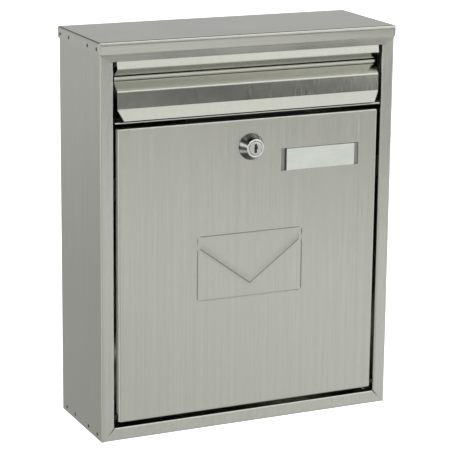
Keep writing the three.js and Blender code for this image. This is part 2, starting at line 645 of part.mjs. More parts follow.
function add(name, solid, material) {
  const mesh = new THREE.Mesh(toGeometry(solid), material);
  mesh.name = name;
  letterBox.add(mesh);
}

add('body_shell', bodyShell(), BRUSHED);
add('floor_panel', floorPanel(), BRUSHED);
add('top_cap', topCap(), CAP_FINISH);
add('slot_hood', slotHood(), BRUSHED);
add('slot_sill', slotSill(), BRUSHED);
add('slot_flap', flap(), BRUSHED);
add('flap_hinge_rod', flapRod(), ZINC);
add('door_panel', doorPanel(), BRUSHED);
add('lock_housing', lockHousing(), CHROME);
add('lock_nut', lockNut(), ZINC);
add('lock_plug', lockPlug(), NICKEL);
add('lock_cam', lockCam(), ZINC);
add('lock_cam_washer', lockWasher(), ZINC);
add('lock_cam_screw', lockScrew(), ZINC);
add('name_window', nameWindow(), CLEAR);
add('name_card', nameCard(), PAPER);

for (let i = 0; i < WAFERS; i += 1) {
  add(`lock_wafer_${i + 1}`, lockWafer(i), BRASS);
}

for (const [label, side] of [['left', -1], ['right', 1]]) {
  add(`flap_bracket_${label}`, flapBracket(side), ZINC);
  add(`flap_rod_clip_${label}`, flapRodClip(side), ZINC);
  add(`door_hinge_pin_${label}`, doorHingePin(side), ZINC);
  add(`door_hinge_spacer_${label}`, doorHingeSpacer(side), ZINC);
  add(`door_hinge_clip_${label}`, doorHingeClip(side), ZINC);
  add(`door_stop_${label}`, doorStop(side), ZINC);
  ['rear', 'front'].forEach((place, i) => {
    const capRivet = rivet(side, HALF + CAP_OVERHANG, CAP_RIVET_Y[i], CAP_RIVET_Z);
    add(`cap_rivet_${label}_${place}`, capRivet, NICKEL);
    add(`floor_rivet_${label}_${place}`, rivet(side, HALF, FLOOR_RIVET_Y[i], FLOOR_RIVET_Z), NICKEL);
  });
}

export default letterBox;
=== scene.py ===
"""Wall letter box in brushed stainless sheet: body, cap, hood over a slot flap, and a door with a cam lock.

Lengths are worked out in millimetres as (x, forward of the front frame, height above the underside), and
`place` turns them into metres in the frame's own axes.
"""

import json
import math

import bpy
import numpy as np
from mathutils import Matrix, Vector


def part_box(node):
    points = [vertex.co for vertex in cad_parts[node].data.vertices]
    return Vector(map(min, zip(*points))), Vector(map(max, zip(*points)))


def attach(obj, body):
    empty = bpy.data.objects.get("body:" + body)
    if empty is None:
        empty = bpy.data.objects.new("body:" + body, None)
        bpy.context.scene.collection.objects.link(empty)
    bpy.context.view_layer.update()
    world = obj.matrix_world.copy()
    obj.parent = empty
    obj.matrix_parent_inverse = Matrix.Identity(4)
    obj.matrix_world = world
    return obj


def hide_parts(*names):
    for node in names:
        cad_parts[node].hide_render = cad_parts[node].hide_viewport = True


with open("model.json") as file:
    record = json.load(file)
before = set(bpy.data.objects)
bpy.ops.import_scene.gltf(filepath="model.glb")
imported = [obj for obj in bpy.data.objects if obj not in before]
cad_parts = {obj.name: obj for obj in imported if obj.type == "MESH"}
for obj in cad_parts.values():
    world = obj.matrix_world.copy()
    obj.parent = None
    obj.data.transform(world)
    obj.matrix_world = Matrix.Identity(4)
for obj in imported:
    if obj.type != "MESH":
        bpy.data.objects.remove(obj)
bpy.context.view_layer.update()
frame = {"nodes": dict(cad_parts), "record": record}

# ---- where things are --------------------

MM = 1000
shell_low, shell_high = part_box("body_shell")
FRONT = shell_low.y * MM
HALF = shell_high.x * MM
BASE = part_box("floor_panel")[0].z * MM
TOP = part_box("top_cap")[1].z * MM - BASE
DEPTH = -FRONT
SHEET = 0.8
GAP = 0.3
BEND = 1.5
FLANGE = 12.3
OPENING = HALF - FLANGE
FRAME_RETURN = 6.0
SHELL_TOP = shell_high.z * MM - BASE

cap_low, cap_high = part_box("top_cap")
CAP_HALF = cap_high.x * MM
CAP_FRONT = FRONT - cap_low.y * MM
SKIRT_FOOT = TOP - 10.5
TONGUE_FOOT = cap_low.z * MM - BASE

HOOD_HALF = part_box("slot_hood")[1].x * MM
SILL_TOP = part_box("slot_sill")[1].z * MM - BASE
SHELF_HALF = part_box("slot_sill")[1].x * MM

door_low, door_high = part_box("door_panel")
DOOR_HALF = door_high.x * MM
DOOR_FOOT = door_low.z * MM - BASE
DOOR_TOP = door_high.z * MM - BASE
DOOR_FACE = FRONT - door_low.y * MM

hinges = {joint["name"]: joint["pos_m"] for joint in frame["record"]["behaviour"]["joints"]}
FLAP_AXIS = (FRONT - hinges["flap_hinge"][1] * MM, hinges["flap_hinge"][2] * MM - BASE)
DOOR_AXIS = (FRONT - hinges["door_hinge"][1] * MM, hinges["door_hinge"][2] * MM - BASE)
LOCK_X = hinges["lock_turn"][0] * MM
LOCK_Z = hinges["lock_turn"][2] * MM - BASE

window_low, window_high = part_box("name_window")
NAME_X = (window_low.x + window_high.x) / 2 * MM
NAME_Z = (window_low.z + window_high.z) / 2 * MM - BASE


def place(x, forward, height):
    """Stacks the three lengths, in millimetres, into points in metres: forward runs towards -Y."""
    x, forward, height = np.broadcast_arrays(x, forward, height)
    return np.stack([x, FRONT - forward, height + BASE], axis=-1) / MM


# ---- camera --------------------

AZIMUTH, ELEVATION, ROLL = 0.442136, 0.242740, 0.0128573
STAND = Vector((-0.75883, -1.70048, 0.46103))

back = Vector((-math.sin(AZIMUTH) * math.cos(ELEVATION), -math.cos(AZIMUTH) * math.cos(ELEVATION),
               math.sin(ELEVATION)))
level = (-back).cross(Vector((0, 0, 1))).normalized()
upright = level.cross(-back)
right = level * math.cos(ROLL) + upright * math.sin(ROLL)
up = upright * math.cos(ROLL) - level * math.sin(ROLL)
lens = bpy.data.cameras.new("camera")
lens.lens = 158.62
lens.sensor_width = 36
lens.shift_x = -0.0440
lens.shift_y = -0.0440
lens.clip_start = 0.05
camera = bpy.data.objects.new("camera", lens)
camera.matrix_world = Matrix.Translation(STAND) @ Matrix((right, up, back)).transposed().to_4x4()
bpy.context.scene.collection.objects.link(camera)
bpy.context.scene.camera = camera


# ---- meshes from grids --------------------

def quads(index, keep):
    """Faces of the kept cells of a grid of vertex numbers, each going round its cell."""
    ring = np.stack([index[:-1, :-1], index[1:, :-1], index[1:, 1:], index[:-1, 1:]], axis=-1)
    return ring[keep]


def rim(index, inner, keep, seal):
    """Walls between the two skins, along every edge where a kept cell meets one that is neither kept nor
    sealed, or the end of the grid."""
    walls = []
    for turn in (False, True):
        cells, sealed, a, b = (keep.T, seal.T, index.T, inner.T) if turn else (keep, seal, index, inner)
        blank = np.zeros((1, cells.shape[1]), bool)
        before = np.concatenate([blank, cells])
        after = np.concatenate([cells, blank])
        closed = np.concatenate([blank, sealed]) | np.concatenate([sealed, blank])
        starts = after & ~before & ~closed
        ends = before & ~after & ~closed
        edge = np.stack([a[:, :-1], a[:, 1:], b[:, 1:], b[:, :-1]], axis=-1)
        walls += [edge[starts], edge[ends][:, ::-1]]
    return np.concatenate(walls)


def round_window(outer, inner, block, radius, first, fine=8):
    """Closes an opened block of cells round a circular hole.

    The block's border points are joined to the arc of the circle that lies between their bearings; the
    circle is the block's centre plus radius (cos t, sin t) along the block's two sides."""
    i0, i1, j0, j1 = block
    tall, wide = i1 - i0, j1 - j0
    ii = np.concatenate([np.arange(i0, i1), np.full(wide, i1), np.arange(i1, i0, -1), np.full(wide, i0)])
    jj = np.concatenate([np.full(tall, j0), np.arange(j0, j1), np.full(tall, j1), np.arange(j1, j0, -1)])
    count = len(ii)
    across = outer[i1, j0] - outer[i0, j0]
    along = outer[i0, j1] - outer[i0, j0]
    across, along = across / np.linalg.norm(across), along / np.linalg.norm(along)
    points, faces = [], []
    for skin, grid in enumerate((outer, inner)):
        border = grid[ii, jj]
        centre = (grid[i0, j0] + grid[i1, j1]) / 2
        bearing = np.unwrap(np.arctan2((border - centre) @ along, (border - centre) @ across))
        knots = np.append(bearing, bearing[0] + 2 * math.pi)
        t = np.interp(np.arange(count * fine) / fine, np.arange(count + 1), knots)
        circle = centre + radius / MM * (np.cos(t)[:, None] * across + np.sin(t)[:, None] * along)
        points += [border, circle]
        base = first + skin * count * (fine + 1)
        k = np.arange(count)[:, None]
        arc = (k * fine + np.arange(fine, -1, -1)) % (count * fine)
        face = np.concatenate([base + k, base + (k + 1) % count, base + count + arc], axis=1)
        faces.append(face if skin == 0 else face[:, ::-1])
    now = np.arange(count * fine)
    after = (now + 1) % (count * fine)
    near, far = first + count, first + count * (fine + 1) + count
    faces.append(np.stack([near + after, near + now, far + now, far + after], axis=-1))
    return np.concatenate(points), faces


def skins(outer, inner, keep=None, seal=None, holes=()):
    """A closed sheet between two grids of points: the outer skin, the inner one turned round, and walls.

    holes are blocks of cells, each with the radius of the round hole that replaces it."""
    rows, columns = outer.shape[:2]
    keep = np.ones((rows - 1, columns - 1), bool) if keep is None else keep.copy()
    seal = np.zeros_like(keep) if seal is None else seal.copy()
    index = np.arange(rows * columns).reshape(rows, columns)
    below = index + rows * columns
    points = [outer.reshape(-1, 3), inner.reshape(-1, 3)]
    faces = []
    first = 2 * rows * columns
    for block, radius in holes:
        keep[block[0]:block[1], block[2]:block[3]] = False
        seal[block[0]:block[1], block[2]:block[3]] = True
        more, parts = round_window(outer, inner, block, radius, first)
        points.append(more)
        faces += parts
        first += len(more)
    faces += [quads(index, keep), quads(below, keep)[:, ::-1], rim(index, below, keep, seal)]
    return np.concatenate(points), faces


def piece(name, shapes, body, slot, *nodes, edge=0.12, sharp=32):
    """Puts the shapes' points and faces into one mesh, merges what meets, turns the faces outwards, and
    eases the sheet's cut edges with a small bevel."""
    corners, rings, first = [], [], 0
    for points, faces in shapes:
        corners.append(points)
        rings += [ring.tolist() for part in faces for ring in (part + first)]
        first += len(points)
    mesh = bpy.data.meshes.new(name)
    mesh.from_pydata(np.concatenate(corners).tolist(), [], rings)
    made = bpy.data.objects.new(name, mesh)
    bpy.context.scene.collection.objects.link(made)
    bpy.ops.object.select_all(action="DESELECT")
    made.select_set(True)
    bpy.context.view_layer.objects.active = made
    bpy.ops.object.mode_set(mode="EDIT")
    bpy.ops.mesh.select_all(action="SELECT")
    bpy.ops.mesh.remove_doubles(threshold=2e-6)
    bpy.ops.mesh.dissolve_degenerate(threshold=1e-6)
    bpy.ops.mesh.delete_loose()
    bpy.ops.mesh.select_all(action="SELECT")
    bpy.ops.mesh.normals_make_consistent(inside=False)
    bpy.ops.object.mode_set(mode="OBJECT")
    mesh.shade_smooth()
    mesh.set_sharp_from_angle(angle=math.radians(sharp))
    if edge:
        bevel = made.modifiers.new("eased edge", "BEVEL")
        bevel.width = edge / MM
        bevel.segments = 2
        bevel.limit_method = "ANGLE"
        bevel.angle_limit = math.radians(50)
        bevel.harden_normals = True
        bevel.use_clamp_overlap = True
    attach(made, body)
    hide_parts(*nodes)
    return made


def bent(corners, bends, steps=6, lines=0.25):
    """A folded section: straight runs joined by arcs. Returns the path and its left-hand normals.

    At a corner of turn a and bend radius r the arc begins r tan(a / 2) before the corner, and its points are
    its centre plus or minus r times the turning normal. A run gets a point close to each of its ends."""
    corners = np.asarray(corners, float)
    run = np.diff(corners, axis=0)
    length = np.linalg.norm(run, axis=1)
    run = run / length[:, None]
    normal = np.stack([-run[:, 1], run[:, 0]], axis=-1)
    angle = np.arctan2(run[:-1, 0] * run[1:, 1] - run[:-1, 1] * run[1:, 0], (run[:-1] * run[1:]).sum(1))
    path, normals = [corners[:1]], [normal[:1]]

    def straight(k, start, end):
        """A point close to each end of what is straight in a run, if that is long enough."""
        if end - start > 3 * lines:
            ends = np.array([start + lines, end - lines])
            path.append(corners[k] + ends[:, None] * run[k])
            normals.append(np.repeat(normal[k:k + 1], 2, axis=0))

    left = 0.0
    for k, (turn, radius) in enumerate(zip(angle, bends)):
        reach = radius * math.tan(abs(turn) / 2)
        middle = corners[k + 1]
        if radius == 0:
            mean = (normal[k] + normal[k + 1]) / 2
            path.append(middle[None])
            normals.append((mean / (mean @ mean))[None])
            left = 0.0
            continue
        straight(k, left, length[k] - reach)
        part = turn * np.linspace(0, 1, steps + 1)
        spin = np.stack([normal[k, 0] * np.cos(part) - normal[k, 1] * np.sin(part),
                         normal[k, 0] * np.sin(part) + normal[k, 1] * np.cos(part)], axis=-1)
        side = -math.copysign(1.0, turn)
        centre = middle - reach * run[k] - side * radius * normal[k]
        path.append(centre + side * radius * spin)
        normals.append(spin)
        left = reach
    straight(len(run) - 1, left, length[-1])
    path.append(corners[-1:])
    normals.append(normal[-1:])
    return np.concatenate(path), np.concatenate(normals)


def spread(low, high, count, lines=0.25):
    """Evenly spaced places from low to high, with one more close to each end."""
    even = np.linspace(low, high, count)
    return np.unique(np.concatenate([even, [low + lines, high - lines]]))


def strip(section, half, count=9, thickness=SHEET, offset=0.0):
    """A side section carried along X between -half and +half, which may change along the section."""
    path, normal = section
    across = spread(-1, 1, count, 0.002)[:, None]
    x = across * np.broadcast_to(half, len(path))[None] + offset
    hidden = path - thickness * normal
    return skins(place(x, path[:, 0], path[:, 1]), place(x, hidden[:, 0], hidden[:, 1]))


def plate(low, high):
    """A small flat plate between two corners, as a sheet whose skins are its two widest sides."""
    low, high = np.minimum(low, high), np.maximum(low, high)
    thin = int(np.argmin(high - low))
    first, second = [axis for axis in range(3) if axis != thin]
    u, v = np.meshgrid(np.linspace(0, 1, 3), np.linspace(0, 1, 3), indexing="ij")
    shape = np.zeros((3, 3, 3))
    shape[..., first] = low[first] + u * (high - low)[first]
    shape[..., second] = low[second] + v * (high - low)[second]
    outer, inner = shape.copy(), shape.copy()
    outer[..., thin] = high[thin]
    inner[..., thin] = low[thin]
    return skins(place(*np.moveaxis(outer, -1, 0)), place(*np.moveaxis(inner, -1, 0)))


def turned(profile, centre, count=72, shape=None):
    """A closed profile of (radius, forward) turned about the lock's axis: x = r cos t, z = r sin t.

    shape, if given, returns each profile point's radius as a function of t instead."""
    t = np.linspace(0, 2 * math.pi, count + 1)
    profile = np.asarray(profile, float)
    radius = np.broadcast_to(profile[:, 0], (count + 1, len(profile)))
    if shape is not None:
        radius = shape(t[:, None], radius)
    x = centre[0] + radius * np.cos(t)[:, None]
    z = centre[1] + radius * np.sin(t)[:, None]
    points = place(x, profile[:, 1], z)
    index = np.arange(points.shape[0] * points.shape[1]).reshape(points.shape[:2])
    return points.reshape(-1, 3), [quads(index, np.ones((count, len(profile) - 1), bool))]


def squeeze(height, low, high, knee):
    """Moves heights below the knee, and above its mirror, in proportion: the ends reach low and high."""
    mirror = SHELL_TOP - knee
    below = low + height * (knee - low) / knee
    above = high - (SHELL_TOP - height) * (high - mirror) / knee
    return np.where(height < knee, below, np.where(height > mirror, above, height))


def at_line(values, wanted):
    """Number of the grid line nearest to a value."""
    return int(np.argmin(np.abs(values - wanted)))


def line_on(path, point):
    """Number of the section's line nearest to a point."""
    return int(np.argmin(np.linalg.norm(path - np.array(point), axis=1)))


def with_lines(path, normal, points):
    """Adds lines to a section at points on its straight runs: each goes in by its distance along the path,
    and takes the normal of the run it lies on."""
    run = np.diff(path, axis=0)
    length = np.linalg.norm(run, axis=1)
    away = points[:, None] - path[None, :-1]
    part = np.clip((away * run[None]).sum(-1) / length ** 2, 0, 1)
    miss = np.linalg.norm(away - part[..., None] * run[None], axis=-1)
    k = miss.argmin(1)
    reach = np.concatenate([[0], np.cumsum(length)])
    at = reach[k] + part[np.arange(len(points)), k] * length[k]
    order = np.argsort(np.concatenate([reach, at]), kind="stable")
    return np.concatenate([path, points])[order], np.concatenate([normal, normal[k]])[order]


# ---- body, floor and cap --------------------

# The rivets' holes lie at these distances back from the front. The rivets themselves lie at the same
# distances out from the wall, so the holes and the rivets do not meet.
BODY_RIVETS, CAP_RIVETS = (12.0, 69.0), (6.0, 75.0)
RIVET_HOLE, RIVET_WINDOW = 1.65 + 0.08, 2.4
MITRE_START = 2.0


def make_body():
    """The wrap: a plan section from one front return round the back to the other, carried up Z.

    The flanges' rows are pressed together towards the mitres at their ends."""
    holes_x, holes_z, hole_r, window = 110.0, (40.0, 325.0), 3.5, 5.0
    rivet_z, knee, sides = 4.8, 20.0, (1, -1)
    corners = [(OPENING, -FRAME_RETURN), (OPENING, 0), (HALF, 0), (HALF, -DEPTH),
               (-HALF, -DEPTH), (-HALF, 0), (-OPENING, 0), (-OPENING, -FRAME_RETURN)]
    path, normal = bent(corners, [BEND] * 6)
    # extra lines along the sides and the back, for the holes
    around = (-RIVET_WINDOW, RIVET_WINDOW)
    extra = [(side * HALF, w - at) for side in sides for at in BODY_RIVETS for w in around]
    extra += [(side * HALF, -40.0) for side in sides]
    extra += [(side * holes_x + w, -DEPTH) for side in sides for w in (-window, window)]
    extra = np.array([*extra, (0.0, -DEPTH), (60.0, -DEPTH), (-60.0, -DEPTH)])
    path, normal = with_lines(path, normal, extra)

    # mitres: the flange's foot rises and its head falls towards the opening
    x = np.abs(path[:, 0])
    front = path[:, 1] > -FRAME_RETURN - 0.1
    start, foot, under_skirt = HALF - MITRE_START, 2.4, 0.4
    rise = (FLANGE - MITRE_START) / (OPENING - HALF + MITRE_START)
    low = np.where(front & (x < start), foot + (x - start) * rise, 0.0)
    high_flange = SKIRT_FOOT - under_skirt - np.clip(HALF - x, 0, SKIRT_FOOT - TONGUE_FOOT)
    high = np.where(front & (x < HALF - 0.3), high_flange, SHELL_TOP)
    low_rivet, high_rivet = rivet_z - RIVET_WINDOW, rivet_z + RIVET_WINDOW
    rows = np.unique(np.concatenate([
        spread(0, SHELL_TOP, 13), [low_rivet, high_rivet, knee, SHELL_TOP - knee],
        [z + w for z in holes_z for w in (-window, window)]]))
    height = squeeze(rows[:, None], low[None], high[None], knee)
    hidden = path - SHEET * normal
    outer = place(path[:, 0], path[:, 1], height)
    inner = place(hidden[:, 0], hidden[:, 1], height)
    low_row, high_row = at_line(rows, low_rivet), at_line(rows, high_rivet)
    # on the right the section runs back, so a window starts at its front line; on the left, at its rear
    side_j = [line_on(path, (side * HALF, -at + side * RIVET_WINDOW))
              for side in sides for at in BODY_RIVETS]
    holes = [((low_row, high_row, j, j + 1), RIVET_HOLE) for j in side_j]
    back_j = [line_on(path, (side * holes_x + window, -DEPTH)) for side in sides]
    holes += [((at_line(rows, z - window), at_line(rows, z + window), j, j + 1), hole_r)
              for z in holes_z for j in back_j]
    return piece("box_wrap", [skins(outer, inner, holes=holes)], "box", "brushed_sheet", "body_shell")


def make_floor():
    """Floor: the ledge, the front flange with mitred ends and the underside, with side tabs."""
    seam, rear, tab_rear, tab_front, tab_foot, tab_top = 0.75, 1.1, 5.1, 15, 0.6, 11
    path, normal = bent([(-FRAME_RETURN, FLANGE), (0, FLANGE), (0, 0), (-DEPTH + rear, 0)], [BEND, BEND])
    forward, height = path.T
    mitre = HALF - MITRE_START - seam - np.clip(height - MITRE_START, 0, FLANGE - MITRE_START)
    half = np.where(forward > -FRAME_RETURN - 0.4, mitre, SHELF_HALF)
    shapes = [strip((path, normal), half, 11)]
    for side in (-1, 1):
        shapes.append(plate(np.array([side * (SHELF_HALF - SHEET), -DEPTH + tab_rear, tab_foot]),
                            np.array([side * SHELF_HALF, -tab_front, tab_top])))
    return piece("box_floor", shapes, "box", "brushed_sheet", "floor_panel")


def pan(across, along, radius, thickness):
    """A sheet folded along two directions, with closed round corners.

    across is (x of the bend's centre, turn, run down the return) for each line across; along is a bent
    section. A point is the section's own point moved in by the bend radius r, plus r times the section's
    normal times the cosine of the turn, plus r times the sine of the turn along X, less the run down."""
    centre_x, turn, run = across
    path, normal = along
    core = path - radius * normal

    def skin(r):
        """One skin, at a bend radius of r about the shared centres."""
        x = np.broadcast_to((centre_x + r * np.sin(turn))[:, None], (len(turn), len(path)))
        first = core[None, :, 0] + r * np.cos(turn)[:, None] * normal[None, :, 0]
        second = core[None, :, 1] + r * np.cos(turn)[:, None] * normal[None, :, 1] - run[:, None]
        return x, first, second

    return skin(radius), skin(radius - thickness)


def returns(flat, half, radius, depths, steps=6):
    """Lines across a pan: down one return, round its bend, over the flat lines, and down the other side."""
    centre = half - radius
    arc = np.linspace(0, math.pi / 2, steps + 1)
    depths = np.asarray(depths, float)
    right_x = np.full(steps + len(depths), centre)
    right_turn = np.concatenate([arc[1:], np.full(len(depths), math.pi / 2)])
    right_run = np.concatenate([np.zeros(steps), depths])
    x = np.concatenate([-right_x[::-1], [-centre], flat, [centre], right_x])
    turn = np.concatenate([-right_turn[::-1], [0], np.zeros(len(flat)), [0], right_turn])
    run = np.concatenate([right_run[::-1], [0], np.zeros(len(flat)), [0], right_run])
    return x, turn, run


def pan_section(rows, high, face, last, low=0.0, first=()):
    """A pan's section: up the first return, round its bend, along the rows, round the other bend and down
    the last return. The returns' lines are runs down from the bend. Returns the path and its normals."""
    arc = np.linspace(0, math.pi / 2, 7)
    first, last = np.asarray(first, float)[::-1], np.asarray(last, float)
    lead = np.full(len(first) + 7 if len(first) else 0, low)
    along = np.concatenate([lead, rows, np.full(7 + len(last), high)])
    drop = np.concatenate([first, np.zeros(len(lead) - len(first) + len(rows) + 7), last])
    tilt = np.concatenate([np.full(len(first), -math.pi / 2), -arc[::-1][:len(lead)], np.zeros(len(rows)),
                           arc, np.full(len(last), math.pi / 2)])
    normal = np.stack([np.sin(tilt), np.cos(tilt)], axis=-1)
    return np.stack([along, face - BEND - drop], axis=-1) + BEND * normal, normal


def make_cap():
    """The cap: a pan with skirts at the front and sides, the front one leaning in at its foot, and a strip
    that steps back under the front skirt and hangs down as a tongue with mitred ends."""
    drop, lean = 6.4, 0.3
    depth = TOP - SKIRT_FOOT - BEND
    runs = [drop - BEND - RIVET_WINDOW, drop - BEND + RIVET_WINDOW, depth - 0.25, depth]
    rows = np.unique([*spread(-DEPTH, CAP_FRONT - BEND, 6)[:-1],
                      *[w - at for at in CAP_RIVETS for w in (-RIVET_WINDOW, RIVET_WINDOW)]])
    path, normal = pan_section(rows, CAP_FRONT - BEND, TOP, runs)
    x, turn, run = returns(spread(-CAP_HALF + BEND, CAP_HALF - BEND, 9)[1:-1], CAP_HALF, BEND, runs)
    outer, inner = pan((x, turn, run), (path, normal), BEND, SHEET)
    tuck = lean * np.clip((TOP - BEND - path[:, 1]) / depth, 0, 1)[None] * np.cos(turn)[:, None]
    flat = normal[:, 1] > 0.999
    down = (run[:-1] > 0) | (run[1:] > 0)
    keep = ~(down[:, None] & ~(flat[:-1] & flat[1:])[None])
    left, right = np.flatnonzero(run == runs[1])[0], np.flatnonzero(run == runs[0])[-1]
    holes = [((i, i + 1, j, j + 1), RIVET_HOLE) for i in (left, right)
             for j in [line_on(path, (-at - RIVET_WINDOW, TOP)) for at in CAP_RIVETS]]
    shapes = [skins(place(outer[0], outer[1] - tuck, outer[2]), place(inner[0], inner[1] - tuck, inner[2]),
                    keep, ~keep, holes)]
    tongue = bent([(CAP_FRONT - SHEET - lean, SKIRT_FOOT), (-0.05, SKIRT_FOOT), (0.0, TONGUE_FOOT)], [0.2])
    shapes.append(strip(tongue, HALF - np.clip(SKIRT_FOOT - tongue[0][:, 1], 0, 99)))
    return piece("box_cap", shapes, "box", "cap_sheet", "top_cap")


# ---- slot --------------------

def make_hood():
    """The hood: its folded strip, and a flat cheek at each end between the face and the back edge."""
    face, bridge, cheek_rear, cheek_foot = -SHEET - GAP, 347, -8.7, 334.4
    corners = [(face, 358), (face, bridge), (0.3, 340.6), (-8.3, 333.45), (-9.4, 341)]
    path, normal = bent(corners, [2.5, 0.8, 0.85])
    shapes = [strip((path, normal), HOOD_HALF)]
    below = path[:, 1] <= bridge + 0.2
    edge = path[below] - SHEET / 2 * normal[below]
    u = np.linspace(0, 1, 3)[:, None]
    far = np.stack([np.full(len(edge), cheek_rear), np.clip(edge[:, 1], cheek_foot, bridge)], axis=-1)
    forward = edge[None, :, 0] * (1 - u) + far[None, :, 0] * u
    height = edge[None, :, 1] * (1 - u) + far[None, :, 1] * u
    for side in (-1, 1):
        near, deep = side * (HOOD_HALF - 0.02), side * (HOOD_HALF - SHEET)
        shapes.append(skins(place(near, forward, height), place(deep, forward, height)))
    return piece("slot_hood_sheet", shapes, "box", "brushed_sheet", "slot_hood")


def make_flap():
    """The flap: a curl round the rod, a band down to the ridge, a band down to the fold, and a lip with its
    corners cut back."""
    curl, curl_start, steps = 1.35, math.radians(-69), 28
    ridge, fold, tip, trim = (0, 320.8), (0.35, 305.2), (3.4, 295.0), 5.0
    to_ridge = np.array(ridge) - FLAP_AXIS
    end = math.atan2(to_ridge[1], to_ridge[0]) + math.asin(curl / np.linalg.norm(to_ridge)) - math.pi / 2
    end += 2 * math.pi if end < 0 else 0
    t = np.linspace(curl_start, end, steps + 1)
    arc = np.stack([FLAP_AXIS[0] + curl * np.cos(t), FLAP_AXIS[1] + curl * np.sin(t)], axis=-1)
    corners = np.concatenate([arc, [ridge, fold, tip]])
    path, normal = bent(corners, [0] * steps + [BEND, BEND], steps=8)
    half = HOOD_HALF - np.interp(-path[:, 1], [-fold[1] + 0.6, -tip[1]], [0, trim])
    return piece("slot_flap_sheet", [strip((path, normal), half, 11)], "flap", "brushed_sheet", "slot_flap")


KEEPER_HALF, KEEPER_FOOT, KEEPER_REAR, KEEPER_FACE = 60, 279, -13.0, -12.2


def make_sill():
    """The sill: a shelf with a hemmed front edge, the keeper below it, and a tab at each end."""
    hem, back_edge, behind, front_half, tuck = 1.8, 22.0, FRAME_RETURN + GAP, 131.2, 0.4
    path, normal = bent([(-back_edge, SILL_TOP), (0, SILL_TOP), (0, SILL_TOP - hem), (-5, SILL_TOP - hem)],
                        [0.85, 0.85])
    k = int(np.flatnonzero(path[:, 0] < -back_edge + 0.5).max()) + 1
    path = np.insert(path, k, [[-behind - 0.05, SILL_TOP], [-behind + 0.05, SILL_TOP]], axis=0)
    normal = np.insert(normal, k, [[0.0, 1.0]] * 2, axis=0)
    half = np.where(path[:, 0] < -behind, SHELF_HALF, front_half)
    shapes = [strip((path, normal), half)]
    shapes.append(plate(np.array([-KEEPER_HALF, KEEPER_REAR, KEEPER_FOOT]),
                        np.array([KEEPER_HALF, KEEPER_FACE, SILL_TOP - tuck])))
    for side in (-1, 1):
        shapes.append(plate(np.array([side * (SHELF_HALF - SHEET), -back_edge, SILL_TOP - 8.8]),
                            np.array([side * SHELF_HALF, -behind, SILL_TOP - tuck])))
    return piece("slot_sill_sheet", shapes, "box", "brushed_sheet", "slot_sill")


# ---- door --------------------

ENVELOPE_HALF, ENVELOPE_LOW, ENVELOPE_HIGH = 52.4, 122.8, 182.9
FOLD_START, FOLD_APEX = 173.3 - 1.1, 135.2
GROOVE_HALF, GROOVE_DEEP, SIDE_DEEP = 0.6, 0.10, 0.16
SLOPE = (FOLD_START - FOLD_APEX) / (ENVELOPE_HALF - 2.2)
MIDDLE = 150.0
FOLD_END, EASED_BY = ENVELOPE_HALF - 2.2, 96
SWELL, SWELL_ABOVE, SWELL_BELOW = 0.17, 3.2, 0.8


def fold_line(x):
    """Height of the envelope's folded edge: from the apex it rises with |x|, then eases back outside."""
    x = np.abs(x)
    inside = FOLD_APEX + SLOPE * np.minimum(x, FOLD_END)
    return MIDDLE + (inside - MIDDLE) * np.clip((EASED_BY - x) / (EASED_BY - ENVELOPE_HALF), 0, 1)


def outline_parts(x, z):
    """The envelope's sloping and level grooves, its upright ones, and the swell above the folded edge.

    A groove is 1 - (d / w)^2 to the power 1.5, with d the distance from its line, and fades at its ends.
    The swell is e to the power -(d / w)^2, with a wider w above the edge than below it."""
    def groove(distance):
        return np.clip(1 - (distance / GROOVE_HALF) ** 2, 0, 1) ** 1.5

    def fade(distance, start, end):
        return np.clip((end - distance) / (end - start), 0, 1)

    line = fold_line(x)
    cosine = 1 / math.hypot(1, SLOPE)
    reach = fade(np.abs(x), ENVELOPE_HALF - 2.9, FOLD_END)
    level = groove(np.abs(z - line) * cosine) * reach
    for height in (ENVELOPE_LOW, ENVELOPE_HIGH):
        level = np.maximum(level, groove(np.abs(z - height)) * fade(np.abs(x), 49.4, 50.4))
    upright = groove(np.abs(np.abs(x) - ENVELOPE_HALF))
    lower = fade(z, 170.2, 171.2) * fade(-z, -124.8, -123.8)
    upper = fade(-z, -177.4, -176.4) * fade(z, 180.8, 181.8)
    upright = upright * np.maximum(lower, upper)
    above = (z - line) * cosine
    swell = np.exp(-(above / np.where(above > 0, SWELL_ABOVE, SWELL_BELOW)) ** 2) * reach
    return level, upright, swell


def pressed(x, z):
    """How far the face stands out at a point: the swell, less the grooves."""
    level, upright, swell = outline_parts(x, z)
    return SWELL * swell - np.maximum(GROOVE_DEEP * level, SIDE_DEEP * upright)


